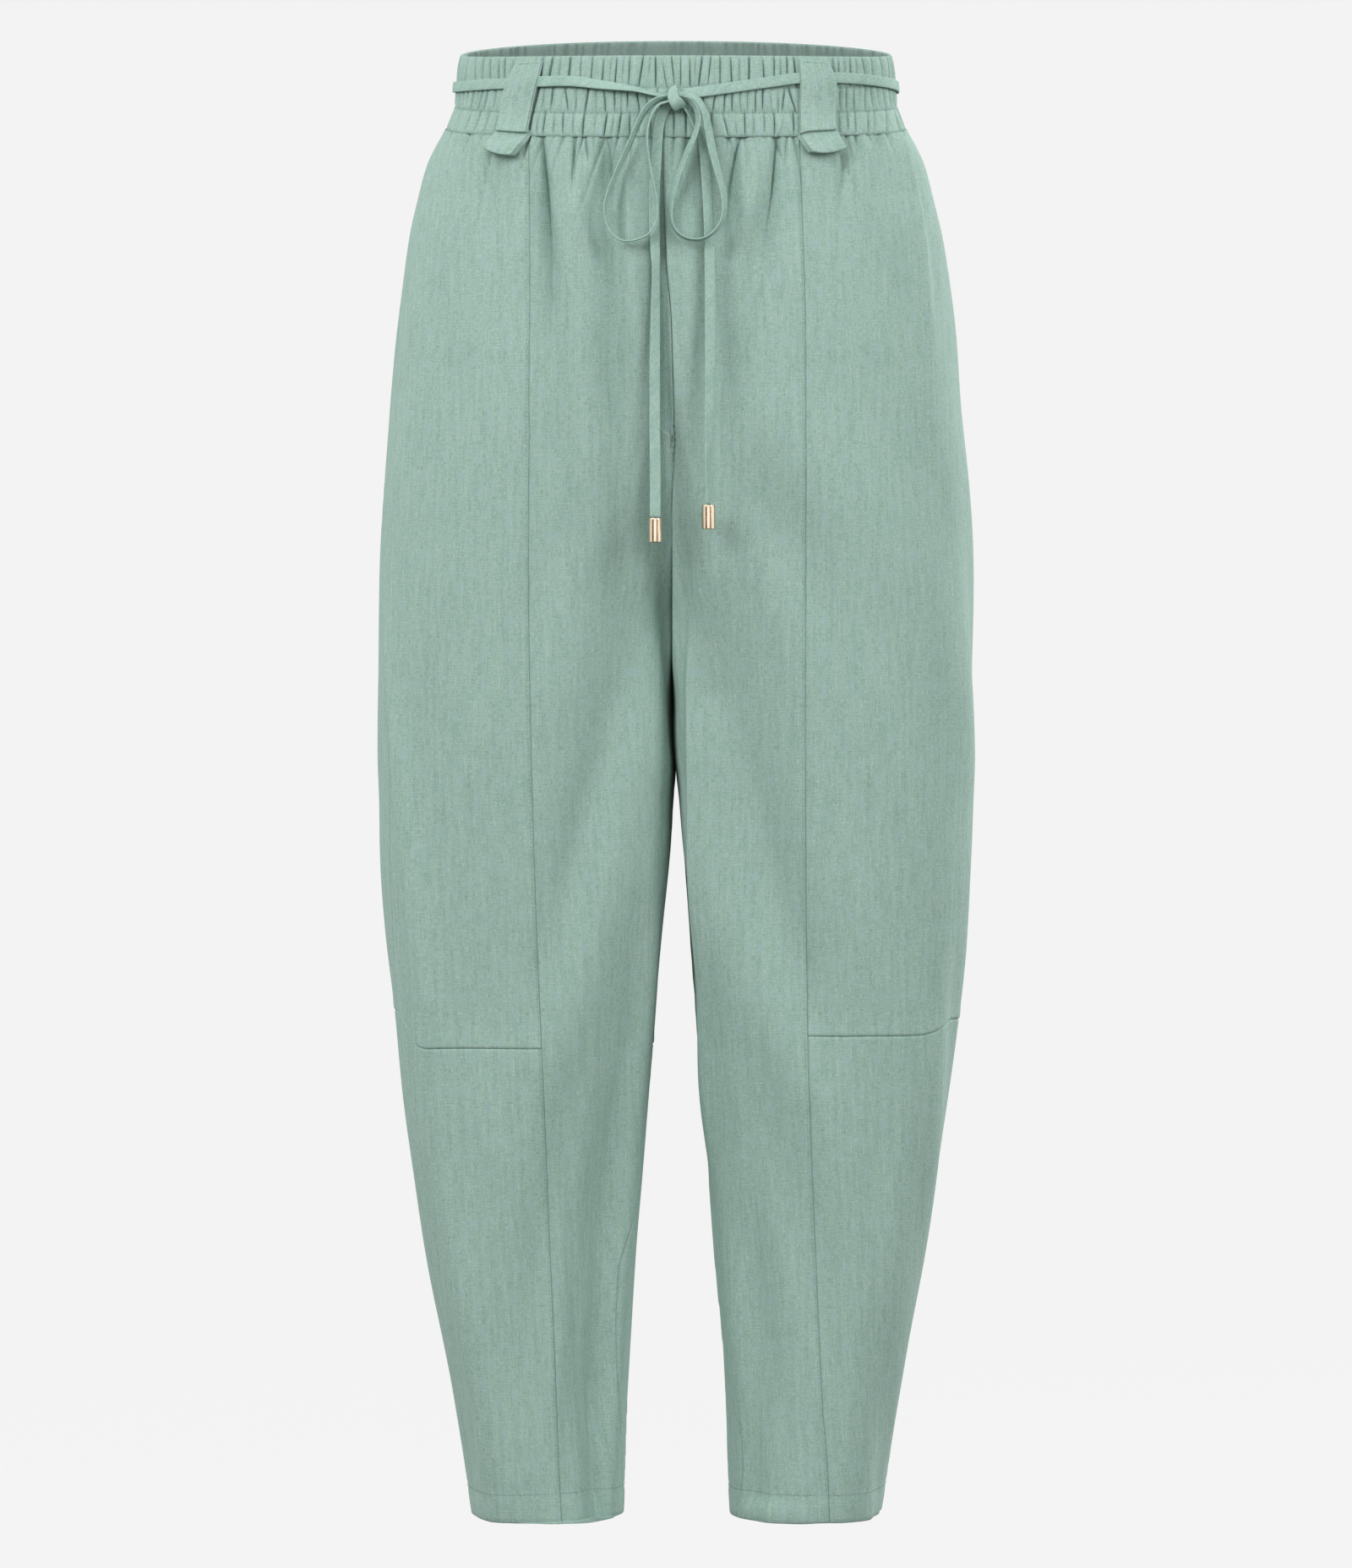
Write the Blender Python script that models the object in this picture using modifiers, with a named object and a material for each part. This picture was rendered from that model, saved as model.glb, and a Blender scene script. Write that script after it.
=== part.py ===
"""Drawstring trousers, filled out as if worn and hollow, with the waist and both hems open.

The front faces -Y, +Z is up and left is -X. The origin is the centre of the waist, where the wearer holds
the garment up. Sizes are in millimetres here, and the meshes are in metres.
"""
import math

import bmesh
import bpy
import numpy as np
from mathutils import Vector

MM = 0.001
COLLECTION = "linen_drawstring_trousers"
SIDES = {"left": -1, "right": 1}

# Cloth
WALL = 1.5
HEM_WALL = 2.2
BAND_WALL = 2.6
SEAM_GAP = 0.3
EDGE_STEP = 0.22  # a panel stops this far short of its seam, measured along its row, since the seams slant
ROUNDNESS = 2.3  # power of the superellipse sections: 2 is an ellipse, more is squarer

# Levels, front, side and back of the waist, then of each knee seam at the front and at the side seam
BAND_TOP = (10.3, 25.0, 48.3)
WAIST_SEAM = (-42.5, -23.0, -2.0)
CROTCH = -302.0
KNEE_SEAM = {"left": (-630.0, -607.0), "right": (-622.0, -613.0)}
KNEE_BEND = (20.0, 50.0)  # degrees from the side seam between which a knee seam drops
HEM_TURN = -921.0
HEM = -940.0

# Where the inner thighs press together, the plane between them leans by this much, from the crotch to where
# the legs part, and eases in and out over these heights
THIGH_LEAN = 2.5
THIGH_LEAN_DEPTH = 20.0
THIGH_LEAN_WIDTH = 40.0
THIGHS_PART = -437.0
LEAN_STARTS_OVER = 30.0
LEAN_ENDS_OVER = 40.0

# The crotch seam's curve in the centre plane, and how far the centre front seam's wander reaches sideways
CROTCH_CURVE_TOP = -200.0
CROTCH_CURVE_POWER = 2.0
WANDER_WIDTH = 55.0
WANDER_DEPTH = 60.0

# Rows of the panels: a share of the way from one level to the next
SEAT_ROWS = (0.0, 0.04, 0.12, 0.22, 0.33, 0.45, 0.56, 0.66, 0.75, 0.83, 0.9, 0.95, 0.985)
THIGH_ROWS = (0.0, 0.06, 0.16, 0.28, 0.4, 0.52, 0.64, 0.76, 0.88)
CALF_ROWS = (0.0, 0.14, 0.28, 0.42, 0.56, 0.7, 0.83, 0.945, 1.0)
CENTRE_COLUMNS = 7
SIDE_COLUMNS = 6
BACK_COLUMNS = 10

# Waistband: pleats drawn in by the elastic
PLEATS = 32
COLUMNS_PER_PLEAT = 4
PLEAT_DEPTH = 0.9
BAND_GAP = 0.6  # upwards from the waist seam: the drawn-in pleats come nearer to the panels
BAND_ROWS = ((0.0, 1.0), (0.5, 0.5), (1.0, 1.0))  # share of the height, share of the pleats' depth

# Belt loops: where each one's middle lies at the band's top, at the waist seam and at its folded end
LOOP_WIDTH = 22.0
LOOP_CLOTH = 1.6
FOLDED_END_CLOTH = 3.2
LOOPS = {
    "left": {"top": (-95.4, 9.3), "seam": (-106.6, -36.4), "end": (-114.2, -48.0)},
    "right": {"top": (89.2, 9.3), "seam": (91.1, -34.5), "end": (97.0, -47.5)},
}
# share of the way from top to seam, clearance behind the loop: the tie runs through the widest stretch
LOOP_STATIONS = ((0.0, 0.4), (0.1, 1.8), (0.17, 3.1), (0.5, 3.1), (0.8, 2.0), (1.0, 1.2))
FOLDED_END_STATIONS = ((0.25, 2.2), (1.0, 5.6))
BACK_LOOP_SPAN = (0.02, 0.97)  # shares of the waistband's height

# The tie: a flat folded strip
TIE_WIDTH = 7.0
TIE_CLOTH = 1.6
TIE_CLEARANCE = 0.6
TIE_SPACING = 7.5
TIE_BELT_PIECES = 60
KNOT_SIZE = (8.4, 7.2, 14.4)
KNOT_PLACE = (-0.3, -108.6, -16.9)
KNOT_LEAN = -10.0
KNOT_ROUNDING = 2.4
CORD_END_RADIUS = 4.4
CORD_END_LENGTH = 15.4
CORD_END_ROUNDING = 1.0
CORD_END_SIDES = 24

# Each material's colour, roughness and metallic value
LINEN = ((0.31, 0.44, 0.38), 0.85, 0.0)
TIE_LINEN = ((0.34, 0.47, 0.41), 0.85, 0.0)
PALE_GOLD = ((0.80, 0.67, 0.54), 0.2, 1.0)
SHARP_ANGLE = 40.0
ROUTE_STEPS = 12  # points worked out between two rows of a route, before they are spaced evenly


def eased(value):
    value = min(max(value, 0.0), 1.0)
    return value * value * (3 - 2 * value)


class Table:
    """Rows with named columns, read as smooth curves of the first column that never overshoot a row."""

    def __init__(self, columns, rows):
        ordered = np.array(sorted(rows), dtype=float)
        self.keys = ordered[:, 0]
        self.values = dict(zip(columns, ordered.T))
        self.slopes = {name: self.slopes_of(column) for name, column in self.values.items()}

    def slopes_of(self, column):
        secants = np.diff(column) / np.diff(self.keys)
        slopes = np.concatenate((secants[:1], np.zeros(len(secants) - 1), secants[-1:]))
        for i, (before, after) in enumerate(zip(secants[:-1], secants[1:])):
            if before * after > 0:
                slopes[i + 1] = 2 * before * after / (before + after)
        return slopes

    def at(self, column, key):
        key = min(max(key, self.keys[0]), self.keys[-1])
        i = min(int(np.searchsorted(self.keys, key, side="right")) - 1, len(self.keys) - 2)
        span = self.keys[i + 1] - self.keys[i]
        t = (key - self.keys[i]) / span
        values = self.values[column]
        slopes = self.slopes[column]
        step = values[i + 1] - values[i]
        bend = slopes[i] * span * t * (1 - t) ** 2 - slopes[i + 1] * span * t * t * (1 - t)
        return float(values[i] + step * t * t * (3 - 2 * t) + bend)


# Half of the body at each height: how far the outer and the inner side lie from the centre plane, and the
# depth in front of and behind the side seam. An inner side beyond the centre plane is cut off there: above
# the crotch the halves are sewn together along the cut, and below it the thighs press together.
BODY = Table(("height", "outer", "inner", "front", "back"), (
    (60, 141.0, -141.0, 99.0, 104.0),
    (25, 142.5, -142.5, 101.0, 105.5),
    (10, 144.5, -144.5, 102.0, 106.5),
    (-8, 145.8, -145.8, 103.0, 108.0),
    (-15, 147.5, -147.5, 103.4, 108.6),
    (-23, 150.7, -150.7, 104.0, 109.5),
    (-39, 160.0, -159.5, 105.5, 112.0),
    (-50, 165.0, -163.5, 107.0, 114.0),
    (-73, 171.0, -165.0, 109.0, 117.5),
    (-95, 176.0, -161.5, 110.5, 120.0),
    (-129, 181.0, -151.0, 111.5, 124.0),
    (-162, 185.0, -134.0, 111.0, 126.5),
    (-190, 187.6, -115.0, 109.7, 127.5),
    (-218, 190.0, -93.6, 108.0, 127.5),
    (-246, 192.2, -69.3, 105.5, 126.0),
    (-265, 193.4, -53.0, 103.5, 124.0),
    (-281, 194.3, -39.8, 101.8, 122.0),
    (-302, 195.3, -24.1, 99.5, 119.0),
    (-320, 195.9, -14.7, 98.0, 116.6),
    (-340, 196.4, -7.6, 96.4, 114.0),
    (-360, 196.8, -3.5, 95.0, 111.8),
    (-385, 197.1, -1.0, 93.4, 109.0),
    (-410, 197.3, 0.2, 91.8, 106.3),
    (-437, 197.4, 0.2, 90.0, 103.5),
    (-470, 196.3, 3.1, 88.0, 100.3),
    (-500, 195.7, 4.8, 86.0, 97.5),
    (-554, 192.4, 9.2, 82.0, 92.5),
    (-610, 186.8, 13.7, 78.0, 88.0),
    (-666, 180.6, 18.2, 75.0, 84.0),
    (-722, 172.2, 22.7, 72.0, 80.0),
    (-778, 163.2, 27.2, 69.0, 76.0),
    (-834, 152.6, 31.1, 66.0, 72.0),
    (-890, 142.5, 33.9, 63.0, 68.0),
    (-940, 135.2, 36.1, 60.0, 64.0),
))

# Seams of each leg: the front panel seam in millimetres from the centre plane, the side seam in degrees
# round from the outer side, the front negative, and the inseam in degrees round from the inner side to the
# front. The centre front seam wanders from the centre plane by the last column.
SEAM_COLUMNS = ("height", "left_panel", "right_panel", "left_side", "right_side", "left_inseam", "right_inseam",
                "centre_front")
SEAMS = Table(SEAM_COLUMNS, (
    (60, 95.0, 80.5, 12.0, 4.0, 0.0, 0.0, -8.0),
    (-42, 95.0, 81.0, 12.0, 4.0, 0.0, 0.0, -7.9),
    (-120, 95.0, 82.8, 10.0, 4.0, 0.0, 0.0, -6.2),
    (-160, 95.0, 83.6, 7.5, 4.0, 0.0, 0.0, -3.0),
    (-240, 95.0, 83.6, -1.0, 4.0, 0.0, 0.0, -1.0),
    (-320, 95.2, 83.6, -13.0, 4.0, 0.0, 0.0, 1.0),
    (-382, 94.6, 83.6, -24.0, 4.0, 0.0, 0.0, 0.0),
    (-437, 93.6, 83.6, -29.0, 4.0, 0.0, 0.0, 0.0),
    (-545, 90.5, 84.0, -25.5, 4.0, 0.0, 0.0, 0.0),
    (-606, 88.0, 84.8, -20.5, 4.0, 0.0, 0.0, 0.0),
    (-640, 86.6, 85.7, -19.4, 4.0, 1.0, 1.0, 0.0),
    (-694, 84.0, 87.5, -19.6, 4.0, 8.0, 8.0, 0.0),
    (-736, 81.9, 89.2, -20.4, 4.0, 18.0, 16.0, 0.0),
    (-778, 79.8, 91.2, -21.5, 4.0, 25.5, 23.0, 0.0),
    (-857, 76.6, 95.2, -24.8, 4.0, 22.0, 30.5, 0.0),
    (-902, 75.2, 98.8, -26.0, 4.0, 14.0, 33.5, 0.0),
    (-940, 73.5, 100.7, -27.0, 4.0, 4.0, 27.0, 0.0),
))

# Largest folds: angles in degrees round the leg from its outer side, the front negative. A gather starts
# at the waist seam and fades downwards, a crease fades at both ends. A negative depth is a ridge.
FOLD_COLUMNS = ("side", "kind", "top", "bottom", "top_angle", "bottom_angle", "width", "depth")
FOLDS = [dict(zip(FOLD_COLUMNS, row)) for row in (
    ("left", "gather", -30, -200, -59, -72, 12.0, 4.0),
    ("left", "gather", -30, -230, -75, -93, 12.0, 4.0),
    ("left", "crease", -40, -320, -87, -130, 13.0, 6.0),
    ("left", "crease", -330, -915, -34, -42, 13.0, -4.0),
    ("left", "crease", -320, -640, -138, -98, 20.0, 4.0),
    ("left", "crease", -600, -910, -120, -75, 18.0, 3.5),
    ("left", "gather", 0, -170, 54, 62, 13.0, 4.0),
    ("left", "gather", 0, -200, 74, 86, 13.0, 4.5),
    ("left", "crease", -300, -600, 142, 105, 20.0, 4.5),
    ("left", "crease", -560, -900, 128, 84, 18.0, 3.5),
    ("right", "gather", -30, -220, -75, -99, 13.0, 5.0),
    ("right", "gather", -30, -240, -64, -90, 12.0, 4.0),
    ("right", "gather", -25, -130, -46, -50, 12.0, 3.5),
    ("right", "crease", -320, -660, -136, -96, 20.0, 4.0),
    ("right", "crease", -620, -915, -118, -78, 18.0, 3.5),
    ("right", "gather", 0, -180, 50, 60, 13.0, 4.0),
    ("right", "gather", 0, -190, 70, 84, 13.0, 4.5),
    ("right", "crease", -310, -620, 140, 100, 20.0, 4.5),
    ("right", "crease", -600, -910, 120, 80, 18.0, 3.5),
)]

# The tie's run round the waist: bearing in degrees from the front centre, right positive, and height
TIE_RUN = Table(("bearing", "height"), (
    (-180, 23.0), (-150, 20.0), (-120, 12.5), (-90, 3.4), (-47, -4.1), (-28, -5.2), (-18, -8.7), (-10, -11.8),
    (-3, -15.9), (3, -14.6), (7, -13.2), (16, -9.5), (25, -5.7), (31, -3.1), (43, -1.0), (68, 0.8), (90, 2.8),
    (120, 12.5), (150, 20.0), (180, 23.0),
))
TIE_RUN_START = 2.9

# Free stretches of the tie: x, y, z, and the turn of the strip in degrees, 0 flat to the front, 90 edge-on
TIE_STRETCHES = {
    "tie_bow_left": (
        (-6.6, -109.9, -17.8, 70), (-11.7, -111.3, -19.1, 66), (-16.0, -112.5, -21.8, 64),
        (-20.3, -113.0, -26.7, 64), (-24.7, -113.5, -35.4, 66), (-29.0, -113.8, -45.7, 66),
        (-33.4, -114.0, -55.4, 68), (-41.0, -114.5, -72.8, 72), (-44.8, -114.8, -83.7, 78),
        (-45.8, -115.0, -91.2, 82), (-44.2, -115.6, -99.4, 84), (-40.4, -116.3, -105.9, 84),
        (-35.0, -117.2, -109.7, 84), (-29.0, -118.0, -110.2, 84), (-22.5, -118.8, -108.6, 84),
        (-17.1, -119.3, -105.4, 84), (-13.3, -119.1, -98.3, 84), (-12.2, -118.5, -90.2, 84),
        (-13.3, -117.6, -79.3, 84), (-16.0, -116.8, -66.8, 84), (-18.2, -116.0, -53.3, 82),
        (-18.7, -115.4, -41.3, 80), (-17.1, -114.6, -32.1, 78), (-14.4, -113.9, -26.1, 76),
        (-11.1, -113.2, -22.3, 76), (-6.9, -112.5, -20.6, 76),
    ),
    "tie_bow_right": (
        (5.6, -110.5, -14.7, 64), (9.0, -111.4, -15.8, 58), (13.3, -112.2, -18.5, 54),
        (16.5, -112.8, -23.4, 50), (19.3, -113.2, -30.5, 48), (20.9, -113.5, -38.6, 46),
        (22.5, -113.8, -47.8, 46), (24.7, -114.2, -57.6, 48), (27.4, -114.6, -67.4, 52),
        (30.1, -115.0, -77.1, 56), (31.2, -115.4, -86.4, 62), (30.4, -116.2, -94.5, 70),
        (26.9, -117.4, -101.6, 78), (21.4, -118.4, -107.0, 82), (14.4, -118.4, -109.7, 84),
        (6.8, -117.6, -108.6, 84), (0.8, -116.8, -104.8, 82), (-3.0, -116.2, -97.8, 76),
        (-3.5, -115.8, -89.1, 68), (-1.4, -115.5, -77.1, 62), (3.0, -115.3, -63.6, 60),
        (7.9, -115.0, -51.1, 60), (11.7, -114.8, -43.0, 62), (13.8, -114.4, -35.4, 64),
        (14.1, -114.0, -29.4, 66), (12.2, -113.4, -24.0, 68), (8.8, -112.8, -19.8, 70),
        (5.6, -112.2, -18.4, 70),
    ),
    "tie_end_left": (
        (-6.9, -107.6, -23.8, 8), (-9.0, -107.7, -27.4, 10), (-10.4, -107.8, -31.5, 10),
        (-11.4, -108.1, -37.0, 8), (-11.9, -108.6, -44.0, 8), (-12.6, -109.7, -54.9, 8),
        (-13.4, -111.2, -68.5, 8), (-13.9, -112.2, -82.0, 6), (-13.9, -112.7, -95.6, 6),
        (-13.7, -113.3, -108.0, 12), (-13.2, -114.4, -119.0, 32), (-12.9, -115.4, -131.0, 48),
        (-13.2, -115.2, -156.9, 34), (-13.6, -114.6, -193.3, 16), (-13.6, -114.0, -225.8, 8),
        (-13.3, -113.6, -258.4, 4), (-13.3, -113.2, -287.3, 0),
    ),
    "tie_end_right": (
        (6.9, -107.4, -24.4, 8), (10.0, -107.5, -29.6, 10), (13.3, -107.8, -35.9, 12),
        (16.2, -108.3, -43.0, 16), (18.0, -109.3, -52.2, 20), (19.0, -110.4, -63.0, 22),
        (20.1, -111.6, -79.3, 22), (20.9, -112.4, -94.5, 20), (21.4, -112.9, -109.2, 16),
        (21.7, -113.4, -128.1, 12), (21.9, -113.6, -145.0, 12), (21.9, -113.8, -181.3, 16),
        (21.3, -113.8, -225.8, 36), (20.6, -113.8, -258.4, 62), (20.9, -113.8, -278.9, 72),
    ),
}
CORD_END_TOPS = {"left": (-13.3, -113.2, -287.7), "right": (20.9, -113.8, -279.3)}


def half_section(height):
    """Centre, half width, front depth and back depth of one half of the body at a height."""
    outer = BODY.at("outer", height)
    inner = BODY.at("inner", height)
    return (outer + inner) / 2, (outer - inner) / 2, BODY.at("front", height), BODY.at("back", height)


def superellipse(angle):
    cosine = math.cos(angle)
    sine = math.sin(angle)
    reach = (abs(cosine) ** ROUNDNESS + abs(sine) ** ROUNDNESS) ** (-1 / ROUNDNESS)
    return cosine * reach, sine * reach


def section_point(angle, height):
    """Point of the right half's outer face, round its section from the outer side, the front negative."""
    centre, half, front, back = half_section(height)
    across, along = superellipse(angle)
    depth = front if along < 0 else back
    return np.array((centre + half * across, depth * along, height))


def outward(angle, height):
    turn, rise = 0.002, 0.5
    round_it = section_point(angle + turn, height) - section_point(angle - turn, height)
    up_it = section_point(angle, height + rise) - section_point(angle, height - rise)
    normal = np.cross(round_it, up_it)
    return normal / np.linalg.norm(normal)


def front_angle(x, height):
    """Angle round the section of the front point that lies x from the centre plane."""
    centre, half, _, _ = half_section(height)
    across = min(max((x - centre) / half, -1.0), 1.0)
    return math.atan2(-((1 - abs(across) ** ROUNDNESS) ** (1 / ROUNDNESS)), across)


def fold_depth(side, angle, height):
    """How far the folds push the cloth in at this place."""
    wrapped = math.degrees((angle + math.pi) % (2 * math.pi) - math.pi)
    _, half, front, _ = half_section(height)
    total = 0.0
    for fold in FOLDS:
        if fold["side"] != side or not fold["bottom"] < height < fold["top"]:
            continue
        share = (fold["top"] - height) / (fold["top"] - fold["bottom"])
        line = fold["top_angle"] + (fold["bottom_angle"] - fold["top_angle"]) * share
        away = math.radians(wrapped - line) * (half + front) / 2
        strength = 1 - eased(share) if fold["kind"] == "gather" else math.sin(math.pi * share)
        total += fold["depth"] * strength * math.exp(-(away / fold["width"]) ** 2)
    return total


def centre_shift(x, y, height):
    """How far the plane between the halves moves sideways: with the centre front seam, and where the thighs
    press together."""
    wander = SEAMS.at("centre_front", height) * eased(-y / WANDER_DEPTH) * math.exp(-(x / WANDER_WIDTH) ** 2)
    begun = eased((CROTCH - height) / LEAN_STARTS_OVER + 0.5)
    unfinished = eased((height - THIGHS_PART) / LEAN_ENDS_OVER + 0.5)
    lean = THIGH_LEAN * math.tanh(y / THIGH_LEAN_DEPTH) * math.exp(-(x / THIGH_LEAN_WIDTH) ** 2)
    return wander + lean * begun * unfinished


def skin(side, angle, height, out=0.0):
    """Point of the body's outer face in world millimetres, moved out along the face by `out`."""
    normal = outward(angle, height)
    x, y, z = section_point(angle, height) - normal * fold_depth(side, angle, height)
    if x < SEAM_GAP / 2:
        x = SEAM_GAP / 2
        normal = np.array((-1.0, 0.0, 0.0))
    x, y, z = np.array((x, y, z)) + normal * out
    return np.array((SIDES[side] * x + centre_shift(x, y, height), y, z))


def level(heights, angle):
    """Height of a line that runs round the body, from its heights at the front, side and back."""
    front, side, back = heights
    _, along = superellipse(angle)
    return side + (back - front) / 2 * along + ((back + front) / 2 - side) * along * along


def knee(side, angle):
    front, outer = KNEE_SEAM[side]
    start, end = KNEE_BEND
    return outer + (front - outer) * eased((abs(math.degrees(angle)) - start) / (end - start))


def centre_seam_angle(height):
    """Angle of the seam between the halves: along the cut, then down the crotch curve inside it."""
    along_cut = front_angle(SEAM_GAP / 2, height)
    fallen = min(max((CROTCH_CURVE_TOP - height) / (CROTCH_CURVE_TOP - CROTCH), 0.0), 1.0)
    depth = (1 - fallen ** CROTCH_CURVE_POWER) ** (1 / CROTCH_CURVE_POWER)
    along_curve = math.atan2(-depth, -((1 - depth ** ROUNDNESS) ** (1 / ROUNDNESS)))
    return min(along_cut, along_curve)


def inner_front_edge(side, height):
    if height > CROTCH:
        return centre_seam_angle(height)
    return math.radians(SEAMS.at(side + "_inseam", height)) - math.pi


def inner_back_edge(side, height):
    if height > CROTCH:
        return -centre_seam_angle(height)
    return inner_front_edge(side, height) + 2 * math.pi


def panel_edge(side, height):
    return front_angle(SEAMS.at(side + "_panel", height), height)


def side_edge(side, height):
    return math.radians(SEAMS.at(side + "_side", height))


def body_rows():
    """Rows of the panels above and below the knee seam: the level above each row and the share below it."""
    seat = [(0, share) for share in SEAT_ROWS]
    thigh = [(1, share) for share in THIGH_ROWS]
    calf = [(2, share) for share in CALF_ROWS]
    return seat + thigh + calf[:1], calf


def row_height(side, angle, row):
    above, share = row
    levels = (level(WAIST_SEAM, angle), CROTCH, knee(side, angle), HEM)
    return levels[above] + (levels[above + 1] - levels[above]) * share


def place_in_panel(side, edges, share, row):
    """Angle and height of a point: the row tilts with the angle, and the seams lean with the height."""
    height = CROTCH
    for _ in range(6):
        start, end = (edge(side, height) for edge in edges)
        angle = start + (end - start) * share
        height = row_height(side, angle, row)
    return angle, height


def stepped(point, towards, distance):
    way = towards - point
    return point + way * (distance / np.linalg.norm(way))


def body_panel(name, side, edges, columns, rows, material):
    """Cloth panel between two upright edges, as rows of outer and inner points."""
    outer_rows, inner_rows = [], []
    for row in rows:
        outer, inner = [], []
        for column in range(columns + 1):
            angle, height = place_in_panel(side, edges, column / columns, row)
            wall = WALL if height > HEM_TURN else HEM_WALL
            outer.append(skin(side, angle, height))
            inner.append(skin(side, angle, height, -wall))
        on_centre_seam = row[0] == 0
        for end, neighbour in ((0, 1), (-1, -2)):
            meets_other_leg = edges[end] in (inner_front_edge, inner_back_edge) and on_centre_seam
            if not meets_other_leg:
                outer[end] = stepped(outer[end], outer[neighbour], EDGE_STEP)
                inner[end] = stepped(inner[end], inner[neighbour], EDGE_STEP)
        outer_rows.append(outer)
        inner_rows.append(inner)
    for sheet in (outer_rows, inner_rows):
        for end, neighbour in ((0, 1), (-1, -2)):
            sheet[end] = [stepped(a, b, SEAM_GAP / 2) for a, b in zip(sheet[end], sheet[neighbour])]
    return loft(name, list(zip(outer_rows, inner_rows)), material)


def loft(name, sections, material, closed=False):
    """Solid through sections, each a line of outer points and the line of inner points behind it."""
    bm = bmesh.new()
    rings = []
    for outer, inner in sections:
        points = list(outer) + list(reversed(list(inner)))
        rings.append([bm.verts.new(Vector(point) * MM) for point in points])
    count = len(rings[0])
    follows = list(zip(rings, rings[1:] + rings[:1])) if closed else list(zip(rings, rings[1:]))
    for ring, after in follows:
        for i in range(count):
            j = (i + 1) % count
            bm.faces.new((ring[i], ring[j], after[j], after[i]))
    if not closed:
        for ring in (rings[0], rings[-1]):
            for i in range(count // 2 - 1):
                bm.faces.new((ring[i], ring[i + 1], ring[count - 2 - i], ring[count - 1 - i]))
    bmesh.ops.recalc_face_normals(bm, faces=bm.faces)
    return finished(name, bm, material)


def finished(name, bm, material):
    mesh = bpy.data.meshes.new(name)
    bm.to_mesh(mesh)
    bm.free()
    mesh.materials.append(material)
    mesh.shade_smooth()
    mesh.set_sharp_from_angle(angle=math.radians(SHARP_ANGLE))
    made = bpy.data.objects.new(name, mesh)
    bpy.data.collections[COLLECTION].objects.link(made)
    return made


def legs(material):
    upper, lower = body_rows()
    for side in SIDES:
        centre = (inner_front_edge, panel_edge)
        outer_front = (panel_edge, side_edge)
        back = (side_edge, inner_back_edge)
        whole = upper + lower[1:]
        body_panel(f"front_centre_{side}", side, centre, CENTRE_COLUMNS, whole, material)
        body_panel(f"front_side_upper_{side}", side, outer_front, SIDE_COLUMNS, upper, material)
        body_panel(f"front_side_lower_{side}", side, outer_front, SIDE_COLUMNS, lower, material)
        body_panel(f"back_upper_{side}", side, back, BACK_COLUMNS, upper, material)
        body_panel(f"back_lower_{side}", side, back, BACK_COLUMNS, lower, material)


def by_bearing(bearing):
    """Side and angle of a bearing in degrees from the front centre, right positive."""
    side = "left" if bearing < 0 else "right"
    return side, math.radians(abs(bearing) - 90)


def band_point(bearing, share, out):
    """Point of the waistband's smooth outer face, share of the way down it."""
    side, angle = by_bearing(bearing)
    top = level(BAND_TOP, angle)
    height = top + (level(WAIST_SEAM, angle) + BAND_GAP - top) * share
    x, y, z = section_point(angle, height) + outward(angle, height) * out
    return np.array((SIDES[side] * x, y, z))


def waistband(material):
    columns = PLEATS * COLUMNS_PER_PLEAT
    sections = []
    for column in range(columns):
        bearing = -180 + 360 * column / columns
        drawn_in = PLEAT_DEPTH * (1 - math.cos(2 * math.pi * column / COLUMNS_PER_PLEAT)) / 2
        outer = [band_point(bearing, share, -drawn_in * pleat) for share, pleat in BAND_ROWS]
        inner = [band_point(bearing, share, -drawn_in * pleat - BAND_WALL) for share, pleat in BAND_ROWS]
        sections.append((outer, inner))
    loft("waistband", sections, material, closed=True)


def front_point(x, height, out):
    """Point in front of the body at x and a height, and the way round the body there."""
    side = "left" if x < 0 else "right"
    angle = front_angle(abs(x), height)
    normal = outward(angle, height)
    point = section_point(angle, height) + normal * out
    way = np.cross((0.0, 0.0, 1.0), normal)
    mirror = np.array((SIDES[side], 1, 1))
    return point * mirror, normal * mirror, way * mirror / np.linalg.norm(way)


def strap_section(point, normal, way, width, cloth):
    """Two outer and two inner corners of a flat strap, its inner face through the point."""
    half = way * (width / 2)
    lifted = point + normal * cloth
    return [lifted - half, lifted + half], [point - half, point + half]


def front_loop(name, places, material):
    (top_x, top_z), (seam_x, seam_z), (end_x, end_z) = places["top"], places["seam"], places["end"]
    sections = []
    for share, clearance in LOOP_STATIONS:
        x, z = top_x + (seam_x - top_x) * share, top_z + (seam_z - top_z) * share
        sections.append(strap_section(*front_point(x, z, clearance), LOOP_WIDTH, LOOP_CLOTH))
    for share, clearance in FOLDED_END_STATIONS:
        x, z = seam_x + (end_x - seam_x) * share, seam_z + (end_z - seam_z) * share
        sections.append(strap_section(*front_point(x, z, clearance), LOOP_WIDTH, FOLDED_END_CLOTH))
    loft(name, sections, material)


def back_loop(name, material):
    start, end = BACK_LOOP_SPAN
    sections = []
    for share, clearance in LOOP_STATIONS:
        point = band_point(180, start + (end - start) * share, clearance)
        sections.append(strap_section(point, np.array((0, 1, 0)), np.array((1, 0, 0)), LOOP_WIDTH, LOOP_CLOTH))
    loft(name, sections, material)


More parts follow.
